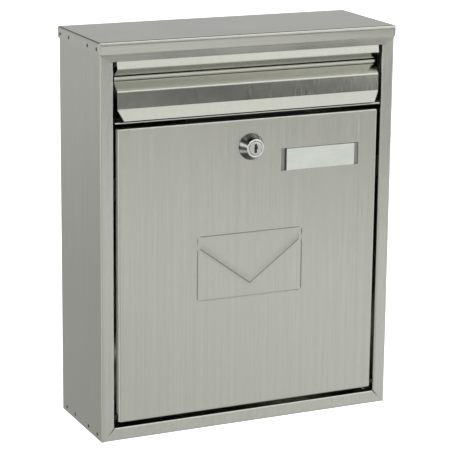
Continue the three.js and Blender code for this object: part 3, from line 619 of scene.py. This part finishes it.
def make_door():
    """The door: a pan with returns on four sides, two slots for the name strip, the lock's hole, the pins'
    holes, and the pressed envelope, whose rows bend to follow the folded edge."""
    depth, foot, tiny = 7 - BEND, 4 - BEND, 1e-6
    pin_run, pin_window, pin_hole = DOOR_FACE - DOOR_AXIS[0] - BEND, 2.0, 1.6
    low_edge, high_edge, field_low, field_high, field_half = 124.4, 181.4, 105, 205, 110
    lock_window, lock_hole, slot_inside, slot_wide, slot_half = 10.6, 9.8, 34.5, 5.1, 10.3
    groove = np.array([-1, -0.55, -0.25, 0, 0.25, 0.55, 1]) * GROOVE_HALF
    # grid lines: even ones, close ones in the grooves and where they fade, a flat pair outside, and holes
    columns = np.unique(np.round(np.concatenate([
        spread(-DOOR_HALF + BEND, DOOR_HALF - BEND, 27)[1:-1], np.linspace(-46, 46, 47),
        *[side * ENVELOPE_HALF + groove for side in (-1, 1)],
        *[side * np.array([ENVELOPE_HALF + 1.2, ENVELOPE_HALF + 2.4]) for side in (-1, 1)],
        *[side * np.array([47.5, 48.6, 49.4, 49.8, 50.2, 50.6, 51.2]) for side in (-1, 1)],
        [-lock_window, lock_window],
        *[NAME_X + side * np.array([slot_inside, slot_inside + slot_wide]) for side in (-1, 1)]]), 4))
    sloped = groove * math.hypot(1, SLOPE)
    rows = np.unique(np.round(np.concatenate([
        spread(DOOR_FOOT + BEND, DOOR_TOP - BEND, 21)[1:-1],
        [DOOR_AXIS[1] - pin_window, DOOR_AXIS[1] + pin_window],
        *[height + groove for height in (ENVELOPE_LOW, ENVELOPE_HIGH)],
        [120.6, 121.6, 123.8, 124.4, 124.8, 126, 180.0, 180.8, 181.4, 181.9, 178, 176, 184.1, 185.1],
        MIDDLE + sloped, MIDDLE + np.array([1.2, 2.2, 3.4, 4.6, 6.2, 8.5, -1.2, -3]),
        [LOCK_Z - lock_window, LOCK_Z + lock_window, NAME_Z - slot_half, NAME_Z + slot_half]]), 4))
    flat = np.abs(columns) < DOOR_HALF - BEND - tiny
    shared = [pin_run - pin_window, foot, pin_run + pin_window, depth - 0.25, depth]
    x, turn, run = returns(columns[flat], DOOR_HALF, BEND, shared)

    foot_runs = [r for r in shared if r <= foot + tiny]
    path, normal = pan_section(rows, DOOR_TOP - BEND, DOOR_FACE, shared, DOOR_FOOT + BEND, foot_runs)
    outer, inner = pan((x, turn, run), (path, normal), BEND, SHEET)
    face_lines = normal[:, 1] > 0.999
    on_face = face_lines[None] & (turn == 0)[:, None]
    height = outer[1]
    inside = (height > field_low) & (height < field_high) & (np.abs(outer[0]) < field_half) & on_face
    line, rim_half = fold_line(outer[0]), GROOVE_HALF * math.hypot(1, SLOPE)
    under = (height - low_edge) / (MIDDLE - rim_half - low_edge)
    over = (high_edge - height) / (high_edge - MIDDLE - rim_half)
    moved = np.where(height < MIDDLE - rim_half, low_edge + under * (line - rim_half - low_edge),
                     np.where(height > MIDDLE + rim_half, high_edge - over * (high_edge - line - rim_half),
                              height + line - MIDDLE))
    moved = np.where(inside & (height > low_edge) & (height < high_edge), moved, height)
    press = np.where(on_face, pressed(outer[0], moved), 0)
    outer_points = place(outer[0], outer[2] + press, moved)
    inner_points = place(inner[0], inner[2] + press, np.where(inside, moved, inner[1]))

    side_cell = (run[:-1] > 0) | (run[1:] > 0)
    face_cell = face_lines[:-1] & face_lines[1:]
    keep = ~(side_cell[:, None] & ~face_cell[None])
    deepest = np.maximum(run[:-1], run[1:])
    lower = np.arange(len(path) - 1) < len(path) // 2
    seal = ~keep & (~lower[None] | (deepest[:, None] <= foot + tiny))
    middle_x = (x[:-1] + x[1:]) / 2
    middle_z = (path[:-1, 0] + path[1:, 0]) / 2
    in_slot = (np.abs(np.abs(middle_x - NAME_X) - slot_inside - slot_wide / 2) < slot_wide / 2)[:, None]
    in_slot = in_slot & (np.abs(middle_z - NAME_Z) < slot_half)[None] & face_cell[None]
    in_slot &= ((turn[:-1] == 0) & (turn[1:] == 0))[:, None]
    keep &= ~in_slot
    lock_i = np.flatnonzero((np.abs(np.abs(x) - lock_window) < 1e-3) & (turn == 0))
    lock_j = [line_on(path, (LOCK_Z + side * lock_window, DOOR_FACE)) for side in (-1, 1)]
    pin_j = line_on(path, (DOOR_AXIS[1] - pin_window, DOOR_FACE))
    pin_i = (np.flatnonzero(np.abs(run - pin_run - pin_window) < tiny)[0],
             np.flatnonzero(np.abs(run - pin_run + pin_window) < tiny)[-1])
    holes = [((lock_i[0], lock_i[-1], lock_j[0], lock_j[1]), lock_hole)]
    holes += [((i, i + 1, pin_j, pin_j + 1), pin_hole) for i in pin_i]
    made = piece("door_pan", [skins(outer_points, inner_points, keep, seal, holes)], "door", "brushed_sheet",
                 "door_panel")
    spots = np.zeros(len(made.data.vertices) * 3)
    made.data.vertices.foreach_get("co", spots)
    spots = spots.reshape(-1, 3) * MM
    level, upright, _ = outline_parts(spots[:, 0], spots[:, 2] - BASE)
    # painted shade in the grooves, kept in the pressed attribute: the foot's groove gets half as much as the
    # others
    shade = np.maximum(level * np.where(spots[:, 2] - BASE < ENVELOPE_LOW + 1, 0.5, 1.0), upright)
    shade = shade * (spots[:, 1] < FRONT)
    made.data.attributes.new("pressed", "FLOAT", "POINT").data.foreach_set("value", shade)
    return made


# ---- lock --------------------

BEZEL_FACE, HOUSING_BACK = (FRONT - corner.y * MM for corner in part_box("lock_housing"))
PLUG_FACE, PLUG_BACK = (FRONT - corner.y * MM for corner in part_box("lock_plug"))


def make_housing():
    """Housing: a threaded barrel, a flared collar, and a ring face round the plug, turned as one profile."""
    bore, barrel, base_r, face_r, base = 6.6, 9.5, 12.2, 7.95, 1.3
    pitch, cut, neck = 1.0, 0.35, barrel - 0.4
    turns = np.arange(HOUSING_BACK + 0.6, base - 1.2, pitch / 2)
    thread = [(barrel - (cut if n % 2 else 0.0), float(f)) for n, f in enumerate(turns)]
    profile = [(bore, HOUSING_BACK), (barrel - 0.5, HOUSING_BACK), *thread, (neck, base - 0.5),
               (neck, base), (base_r - 0.25, base), (base_r, base + 0.25), (base_r, base + 0.75),
               (base_r - 0.12, base + 1.0), (face_r + 0.62, BEZEL_FACE - 0.95),
               (face_r + 0.45, BEZEL_FACE - 0.5), (face_r + 0.2, BEZEL_FACE - 0.16),
               (face_r - 0.1, BEZEL_FACE), (bore + 0.55, BEZEL_FACE), (bore + 0.2, BEZEL_FACE - 0.12),
               (bore, BEZEL_FACE - 0.4), (bore, BEZEL_FACE - 0.8), (bore, HOUSING_BACK)]
    shape = turned(profile, (LOCK_X, LOCK_Z), 96)
    return piece("lock_collar", [shape], "door", "lock_chrome", "lock_housing", edge=0)


def key_outline(t):
    """Polar radius of the keyway: the further of a tall slot and the ward's notch at its right.

    A straight edge at a distance d from the axis lies at a radius of d / cos t, or d / sin t."""
    slot_wide, slot_tall, ward_wide, ward_top, ward_low, tiny = 1.2, 4.0, 2.2, 1.6, 0.6, 1e-9
    across, along = np.abs(np.cos(t)) + tiny, np.abs(np.sin(t)) + tiny
    slot = np.minimum(slot_wide / across, slot_tall / along)
    reach = np.where(np.sin(t) > 0, ward_top, ward_low) / along
    ward = np.where(np.cos(t) > 0, np.minimum(ward_wide / across, reach), 0)
    return np.maximum(slot, ward)


SQUARE = 100


def make_plug():
    """Plug: rings from the keyway's floor up its walls, over the face, down the barrel to the shoulder, and
    out along the square drive to its closed end."""
    drive, corner_cut, shoulder, plug, collar = 3.5, 1.33, HOUSING_BACK - 0.3, 6.3, 7.5
    floor = PLUG_FACE - 7

    def outline(t, radius):
        """A radius of -1 - w means the keyway's outline grown by w, and SQUARE the square drive."""
        square = drive / np.maximum(np.abs(np.cos(t)), np.abs(np.sin(t)))
        ring = np.where(radius == SQUARE, np.minimum(square, drive * corner_cut), radius)
        return np.where(radius <= -1, key_outline(t) + (-radius - 1), ring)

    profile = [(0, floor), (-1, floor), (-1, PLUG_FACE - 0.15), (-1.12, PLUG_FACE),
               (5.0, PLUG_FACE), (plug - 0.3, PLUG_FACE), (plug - 0.08, PLUG_FACE - 0.1),
               (plug, PLUG_FACE - 0.35), (plug, PLUG_FACE - 0.7), (plug, shoulder), (collar, shoulder),
               (collar, shoulder - 1), (SQUARE, shoulder - 1), (SQUARE, PLUG_BACK + 0.2), (3.2, PLUG_BACK),
               (0, PLUG_BACK)]
    shape = turned(profile, (LOCK_X, LOCK_Z), 240, outline)
    return piece("lock_barrel_plug", [shape], "lock_barrel", "plug_nickel", "lock_plug", edge=0, sharp=40)


# ---- name strip --------------------

def make_window():
    """The clear strip: a long face with a hook at each end, its face a little wavy.

    wave = a sin(u / p + z / q) cos(z / r) - b sin(u / s), fading out towards the ends."""
    half, sheet = 34.5 + GAP + 0.5, 0.5
    face, rear, hook = DOOR_FACE + 3 * GAP + sheet, DOOR_FACE - SHEET - GAP, half + 5.2
    corners = [(-hook, rear), (-half, rear), (-half, face), (half, face), (half, rear), (hook, rear)]
    path, normal = bent(corners, [0.4, 0.9, 0.9, 0.4], steps=5)
    flat = np.flatnonzero((np.abs(path[:, 1] - face) < 1e-6) & (np.abs(path[:, 0]) < half - 1.0))
    more = np.linspace(path[flat[0], 0], path[flat[-1], 0], 62)[1:-1]
    path = np.insert(path, flat[0] + 1, np.stack([more, np.full(len(more), face)], axis=-1), axis=0)
    normal = np.insert(normal, flat[0] + 1, [[0.0, 1.0]] * len(more), axis=0)
    rows = spread(NAME_Z - 10.0, NAME_Z + 10.0, 17, 0.2)[:, None]
    u = (path[:, 0] + half)[None]
    wave = 0.16 * np.sin(u / 5.1 + rows / 6.0) * np.cos((rows - NAME_Z) / 4.6) - 0.1 * np.sin(u / 11.0)
    wave = np.where((normal[:, 1] > 0.999) & (np.abs(path[:, 0]) < half - 2.5), wave, 0)
    wave = wave * np.clip((half - 2.0 - np.abs(path[:, 0])) / 4, 0, 1)
    hidden = path - sheet * normal
    outer = place(NAME_X + path[:, 0], path[:, 1] + wave, rows)
    inner = place(NAME_X + hidden[:, 0], hidden[:, 1] + wave, rows)
    return piece("name_strip", [skins(outer, inner)], "door", "clear_strip", "name_window", edge=0.08)


def make_card():
    """The paper card: a thin flat sheet, bowed by a twentieth of a millimetre along its length."""
    half_long, half_tall = 33.7, 9.5
    u, v = np.meshgrid(spread(-half_long, half_long, 21), spread(-half_tall, half_tall, 5), indexing="ij")
    bow = 0.05 * np.cos(u / half_long * math.pi)
    outer = place(NAME_X + u, DOOR_FACE + 2 * GAP - 0.02 + bow, NAME_Z + v)
    inner = place(NAME_X + u, DOOR_FACE + GAP + 0.07 + bow, NAME_Z + v)
    return piece("name_paper_card", [skins(outer, inner)], "door", "name_paper", "name_card", edge=0.05)


# ---- finishes --------------------

DIRECTION, OBJECT = 0, 3


class Value:
    """A number that varies over a surface. Arithmetic on it adds the maths nodes."""

    def __init__(self, finish, socket):
        self.finish, self.socket = finish, socket

    def maths(self, operation, *others):
        terms = dict(enumerate((self, *others)))
        return self.finish.node("ShaderNodeMath", {"operation": operation}, terms)

    def __add__(self, other):
        return self.maths("ADD", other)

    def __sub__(self, other):
        return self.maths("SUBTRACT", other)

    def __rsub__(self, other):
        return self.finish.node("ShaderNodeMath", {"operation": "SUBTRACT"}, {0: other, 1: self})

    def __mul__(self, other):
        return self.maths("MULTIPLY", other)

    def __truediv__(self, other):
        return self.maths("DIVIDE", other)

    def __pow__(self, other):
        return self.maths("POWER", other)

    def __neg__(self):
        return self * -1

    def __abs__(self):
        return self.maths("ABSOLUTE")

    __radd__, __rmul__ = __add__, __mul__

    def clipped(self, low=0.0, high=1.0):
        return self.finish.node("ShaderNodeClamp", {}, {"Value": self, "Min": low, "Max": high})


class Finish:
    """A node tree being filled: a material's or the world's."""

    def __init__(self, tree):
        self.tree = tree
        tree.nodes.clear()

    def node(self, kind, settings, sockets, output=0):
        """Adds a node: its settings first, then what goes into its sockets. Returns one of its outputs."""
        made = self.tree.nodes.new(kind)
        for key, value in settings.items():
            if key == "stops":
                ramp = made.color_ramp.elements
                ramp[0].position, ramp[1].position = value[0][0], value[-1][0]
                for at, _ in value[1:-1]:
                    ramp.new(at)
                for element, (_, colour) in zip(ramp, value):
                    element.color = (*colour, 1) if np.ndim(colour) else (colour, colour, colour, 1)
            else:
                setattr(made, key, value)
        for key, value in sockets.items():
            if isinstance(value, Value):
                self.tree.links.new(value.socket, made.inputs[key])
            else:
                made.inputs[key].default_value = value
        return Value(self, made.outputs[output]) if len(made.outputs) else None

    def mix(self, factor, first, second):
        """A colour between two, by a factor."""
        settings = {"data_type": "RGBA"}
        sockets = {0: factor, 6: (*first, 1) if isinstance(first, tuple) else first,
                   7: (*second, 1) if isinstance(second, tuple) else second}
        return self.node("ShaderNodeMix", settings, sockets, 2)

    def axes(self, source=OBJECT):
        """X, Y and Z of the piece's own coordinates, in metres, or of the world's direction."""
        where = self.node("ShaderNodeTexCoord", {}, {}, source)
        split = self.node("ShaderNodeSeparateXYZ", {}, {"Vector": where})
        return [Value(self, socket) for socket in split.socket.node.outputs]

    def bump(self, height, distance, strength=1.0):
        """A bumped normal, from a height."""
        sockets = {"Strength": strength, "Distance": distance, "Height": height}
        return self.node("ShaderNodeBump", {}, sockets)

    def noise(self, scale, detail=2.0, roughness=0.5):
        """Noise on the piece's own coordinates, in metres, with a frequency for each axis."""
        where = self.node("ShaderNodeTexCoord", {}, {}, OBJECT)
        placed = self.node("ShaderNodeMapping", {}, {"Vector": where, "Scale": scale})
        return self.node("ShaderNodeTexNoise", {}, {"Vector": placed, "Scale": 1.0, "Detail": detail,
                                                    "Roughness": roughness})

    def shade(self, **sockets):
        """The surface shader and the output, given by socket name with underscores for spaces."""
        named = {key.replace("_", " "): value for key, value in sockets.items()}
        shader = self.node("ShaderNodeBsdfPrincipled", {}, named)
        self.node("ShaderNodeOutputMaterial", {}, {"Surface": shader})


def new_finish(name, colour):
    """A material with an empty node tree and a plain viewport colour."""
    material = bpy.data.materials.new(name)
    material.use_nodes = True
    material.diffuse_color = (*colour, 1)
    return material, Finish(material.node_tree)


def shades(tint, *factors):
    """The tint times each factor, up to white."""
    return [tuple(min(1.0, c * factor) for c in tint) for factor in factors]


def brushed(name, tint, rough, grain, depth=1.0, blotch=1.0, door_groove_shade_and_dull_sides=False):
    """Brushed sheet. grain is the frequency along each axis: low along the brushing, high across it.

    Colour = two greys mixed by hair, fine and broad streaks and by faint smudges; roughness = rough plus a
    little of the fine streaks and the smudges; the bump is the streaks' height. The door's flag paints shade
    into the grooves that the mesh marks as pressed, mixing them towards a dark grey, and makes the side
    returns less metallic."""
    material, f = new_finish(name, tint)

    def streaks(across, along, roughness):
        return f.noise(tuple(g * (across if g > 0.5 else along) for g in grain), 2.0, roughness)

    hair, fine, broad = streaks(5200, 400, 0.5), streaks(1900, 260, 0.6), streaks(330, 60, 0.55)
    smudge = f.noise((14.0, 14.0, 11.0), 3.0, 0.55)
    streak = (hair * 0.35 + fine * 0.50 + broad * 0.15).clipped()
    # dark and light are the brushing's two greys; groove is the dark grey of the door's painted groove shade
    dark, light, groove = shades(tint, 0.86, 1.13, 0.16)
    tone = ((streak - 0.5) * 1.5 + 0.5 + (smudge - 0.5) * 0.3 * blotch).clipped()
    colour, metal = f.mix(tone, dark, light), 1.0
    if door_groove_shade_and_dull_sides:
        # painted shade: the door's grooves are darkened by the mesh's pressed attribute
        painted_groove_shade = f.node("ShaderNodeAttribute", {"attribute_name": "pressed"}, {}, 2)
        colour = f.mix((painted_groove_shade * 0.8).clipped(), colour, groove)
        side = ((abs(f.axes()[0]) * MM - (DOOR_HALF - 0.5)) * 4).clipped()
        metal = 1 - side * 0.85
    gloss = rough + (fine - 0.5) * 0.06 + (smudge - 0.5) * 0.10 * blotch
    f.shade(Base_Color=colour, Metallic=metal, Roughness=gloss.clipped(0.05, 1.0),
            Normal=f.bump(hair + fine * 0.5, 0.00004 * depth))
    return material


UPRIGHT = (1.0, 1.0, 0.03)
ALONG = (0.03, 1.0, 1.0)
STEEL = (0.60, 0.605, 0.545)

sheet_finish = brushed("brushed stainless sheet", STEEL, 0.19, UPRIGHT)
door_finish = brushed("brushed door sheet", STEEL, 0.20, UPRIGHT, door_groove_shade_and_dull_sides=True)
cap_finish = brushed("brushed cap sheet", STEEL, 0.17, ALONG, 0.15)
slot_finish = brushed("brushed slot sheet", STEEL, 0.11, UPRIGHT, 0.7, 0.3)
rivet_finish = brushed("rivet steel", (0.56, 0.56, 0.51), 0.26, UPRIGHT, 0.5)


def cast_metal(name, tint, rough, pit, satin=0.0, painted_cone_reflections=False):
    """Plated or plain metal: tiny pits in the bump, smudges in the roughness, and a slight change of tone.

    satin adds fine noise to the roughness. The cone flag paints reflections into the colour: the collar's
    cone, behind its ring face, is painted dark, with a pale painted highlight at the left and another at the
    upper right, by the bearing t = atan2(z, x) from the axis."""
    material, f = new_finish(name, tint)
    pits = f.noise((900.0, 900.0, 900.0), 2.0, 0.5)
    smear = f.noise((120.0, 120.0, 160.0), 3.0, 0.6)
    fine = f.noise((5000.0, 5000.0, 5000.0), 2.0, 0.6)
    dark, light, shadow = shades(tint, 0.88, 1.06, 0.16)
    colour = f.mix((smear * 0.7 + fine * 0.3).clipped(), dark, light)
    if painted_cone_reflections:
        # painted reflection: the cone behind the ring face is painted dark, with pale painted highlights at
        # the left and the upper right
        x, y, z = f.axes()
        cone = ((y * -MM + FRONT - BEZEL_FACE + 0.6) * -4).clipped()
        bearing = (z * MM - (LOCK_Z + BASE)).maths("ARCTAN2", x * MM - LOCK_X)
        left = (1 - (abs(bearing) - 2.86) ** 2 * 30).clipped()
        upper = (1 - (bearing - 0.98) ** 2 * 120).clipped()
        colour = f.mix(cone, colour, f.mix((left + upper).clipped(), shadow, (1.0, 1.0, 0.98)))
    gloss = (rough + (smear - 0.5) * 0.08 + (fine - 0.5) * satin).clipped(0.03, 1.0)
    f.shade(Base_Color=colour, Metallic=1.0, Roughness=gloss,
            Normal=f.bump(pits + fine * 0.3, 0.00001 * pit))
    return material


chrome_finish = cast_metal("lock chrome", (0.86, 0.86, 0.84), 0.10, 0.5, painted_cone_reflections=True)
nickel_finish = cast_metal("plug nickel", (0.72, 0.72, 0.69), 0.22, 1.0, 0.1)
# painted shade: the hardware in the gaps, and the sill's keeper, are near-black so that the gaps read as
# shade
gap_shade_zinc = cast_metal("near-black zinc, painted gap shade", (0.040, 0.042, 0.040), 0.45, 3.0, 0.15)
# painted shade: the wafers are darkened so that the keyway reads as shaded
keyway_shade_brass = cast_metal("wafer brass, darkened as painted keyway shade", (0.22, 0.17, 0.09), 0.45, 1.5, 0.1)


def strip_finish():
    """Thin clear plastic over paper, seen as a pale glossy skin: faint cloudy tone, soft gloss, and painted
    shade at the ends where no paper lies behind it: the shaded slot seen through the plastic is painted in,
    darkest just past the paper's ends."""
    paper_end, inner_end = 0.0346, 0.0354
    material, f = new_finish("clear strip", (0.60, 0.64, 0.57))
    cloud = f.noise((60.0, 60.0, 110.0), 3.0, 0.6)
    fine = f.noise((1500.0, 1500.0, 1500.0), 2.0, 0.5)
    colour = f.mix((cloud * 0.8 + fine * 0.2).clipped(), (0.38, 0.405, 0.37), (0.50, 0.53, 0.485))
    reach = abs(f.axes()[0] - NAME_X / MM)
    # painted shade: past the paper's ends the shaded slot behind the clear plastic is painted in, darkest
    # just past the paper
    painted_slot_shade = ((reach - paper_end) * 4000).clipped()
    darkest_slot_shade = (1 - (reach - inner_end) * 1200).clipped()
    colour = f.mix(painted_slot_shade, colour, f.mix(darkest_slot_shade, (0.20, 0.19, 0.175), (0.05, 0.05, 0.048)))
    f.shade(Base_Color=colour, Metallic=0.0, Roughness=(cloud * 0.15 + 0.14).clipped(),
            Normal=f.bump(cloud, 0.0001, 0.6))
    return material


def paper_finish():
    """Uncoated card: off-white, with its fibres in the tone and the bump."""
    material, f = new_finish("name paper", (0.80, 0.81, 0.77))
    fibre = f.noise((2200.0, 2200.0, 900.0), 4.0, 0.65)
    colour = f.mix(fibre, (0.50, 0.51, 0.48), (0.60, 0.61, 0.58))
    f.shade(Base_Color=colour, Metallic=0.0, Roughness=0.85 + (fibre - 0.5) * 0.1,
            Normal=f.bump(fibre, 0.00004, 0.4))
    return material


clear_finish, card_finish = strip_finish(), paper_finish()

for made, finish in [
        (make_body(), sheet_finish), (make_floor(), sheet_finish), (make_cap(), cap_finish),
        (make_housing(), chrome_finish), (make_plug(), nickel_finish), (make_window(), clear_finish),
        (make_card(), card_finish), (make_door(), door_finish), (make_hood(), slot_finish),
        (make_flap(), slot_finish)]:
    made.data.materials.append(finish)
sill = make_sill()
sill.data.materials.append(slot_finish)

# the keeper below the sill is painted near-black as painted shade for the gap it sits in, like the hardware
# behind the gap
sill.data.materials.append(gap_shade_zinc)
middles = np.zeros(len(sill.data.polygons) * 3)
sill.data.polygons.foreach_get("center", middles)
middles = middles.reshape(-1, 3) * MM
depth_in, margin = middles[:, 1] - FRONT, 0.1
keeper = (depth_in > -KEEPER_FACE - margin) & (depth_in < -KEEPER_REAR + margin)
keeper &= middles[:, 2] < SILL_TOP + BASE - 1
sill.data.polygons.foreach_set("material_index", keeper.astype(np.int32))

# the CAD's own small parts keep their shape and take the same finishes; the hinge, nut, cam, clip, bracket
# and stop parts take the near-black zinc, which is painted shade for the gaps they sit in
small = {"rivet": rivet_finish, "wafer": keyway_shade_brass}
small.update(dict.fromkeys(["hinge", "lock_nut", "lock_cam", "clip", "bracket", "door_stop"], gap_shade_zinc))
for name, node in frame["nodes"].items():
    for kind, finish in small.items():
        if kind in name:
            node.data.materials.clear()
            node.data.materials.append(finish)


# ---- room --------------------

def make_floor_plane():
    """A wide pale floor under the box, a grid that is kept out of the steel's reflections."""
    wide, count, below = 6.0, 9, 0.0005
    mesh = bpy.data.meshes.new("studio_floor")
    edge = np.linspace(-wide, wide, count)
    x, y = np.meshgrid(edge, edge, indexing="ij")
    points = np.stack([x, y, np.full_like(x, BASE / MM - below)], axis=-1).reshape(-1, 3)
    index = np.arange(count * count).reshape(count, count)
    mesh.from_pydata(points.tolist(), [], quads(index, np.ones((count - 1, count - 1), bool)).tolist())
    floor = bpy.data.objects.new("studio_floor", mesh)
    bpy.context.scene.collection.objects.link(floor)
    floor.visible_glossy = False
    material, f = new_finish("pale floor", (0.9, 0.9, 0.9))
    f.shade(Base_Color=(0.9, 0.9, 0.9, 1.0), Roughness=0.9, Specular_IOR_Level=0.0,
            Emission_Color=(1.0, 1.0, 1.0, 1.0), Emission_Strength=1.0)
    mesh.materials.append(material)


def make_world():
    """Soft room light by direction; the background itself is seen as white.

    In front of the box the light is read off a list of levels against height, where the height leans with
    the bearing; behind the box it is read off a second list. A lamp stands near the horizon at the left."""
    world = bpy.data.worlds.new("soft room")
    bpy.context.scene.world = world
    world.use_nodes = True
    f = Finish(world.node_tree)
    x, y, z = f.axes(DIRECTION)
    turn = (x / (-y).maths("MAXIMUM", 0.2)).clipped(-1.0, 2.0)
    height = (z + (turn - 0.46) * 0.25 * (1 - abs(z))) * 0.5 + 0.5
    levels = [(-1, 0.6), (-0.6, 0.62), (-0.40, 0.63), (-0.32, 0.74), (-0.25, 0.93), (-0.20, 0.92),
              (-0.186, 0.74), (-0.172, 0.05), (-0.108, 0.04), (-0.088, 1.2), (-0.05, 1.3), (0.08, 1.3),
              (0.12, 0.66), (0.165, 0.66), (0.19, 1.12), (0.25, 1.06), (0.36, 1.06), (0.42, 0.2),
              (0.48, 0.12), (0.56, 0.4), (0.66, 1.9), (0.8, 1.8), (0.9, 1.0), (0.97, 0.75), (1, 0.7)]
    peak = 2.0
    stops = [((s + 1) / 2, level / peak) for s, level in levels]
    front = f.node("ShaderNodeValToRGB", {"stops": stops}, {"Fac": height})
    rear = f.node("ShaderNodeValToRGB", {"stops": [(0.0, 0.23), (0.34, 0.245), (0.38, 0.265), (0.42, 0.35),
                                                   (0.48, 0.28), (0.60, 0.27), (0.66, 0.08), (0.95, 0.06),
                                                   (1.0, 0.3)]}, {"Fac": z * 0.5 + 0.5})
    behind = (y * 2.5 + 0.5).clipped()
    side_lamp = ((-x - 0.66) * 8).clipped() * (1 - (abs(z) - 0.25) * 4).clipped()
    light = f.mix(side_lamp, f.mix(behind, front, rear), (0.5, 0.5, 0.5))
    slant = (1 + (turn - 0.47) * 0.7).clipped(0.86, 1.03)
    light = f.node("ShaderNodeVectorMath", {"operation": "SCALE"}, {0: light, 3: slant})
    glow = f.node("ShaderNodeBackground", {}, {"Color": light, "Strength": peak})
    white = f.node("ShaderNodeBackground", {}, {"Color": (1, 1, 1, 1), "Strength": 1.0})
    seen = f.node("ShaderNodeLightPath", {}, {}, 0)
    out = f.node("ShaderNodeMixShader", {}, {0: seen, 1: glow, 2: white})
    f.node("ShaderNodeOutputWorld", {}, {"Surface": out})


def make_light(name, at, aim, size, power):
    """A square soft light at a place, turned to face another, kept out of the steel's reflections."""
    data = bpy.data.lights.new(name, "AREA")
    data.size = size
    data.energy = power
    lamp = bpy.data.objects.new(name, data)
    lamp.location = at
    lamp.rotation_mode = "QUATERNION"
    lamp.rotation_quaternion = (Vector(aim) - Vector(at)).to_track_quat("-Z", "Y")
    lamp.visible_glossy = False
    bpy.context.scene.collection.objects.link(lamp)


make_floor_plane()
make_world()
make_light("soft key", (-1.6, -2.2, 2.4), (0, 0, 0), 1.6, 12)
make_light("soft fill", (2.4, -1.4, 1.4), (0, 0, 0), 1.8, 6)
bpy.context.scene.view_settings.view_transform = "Standard"
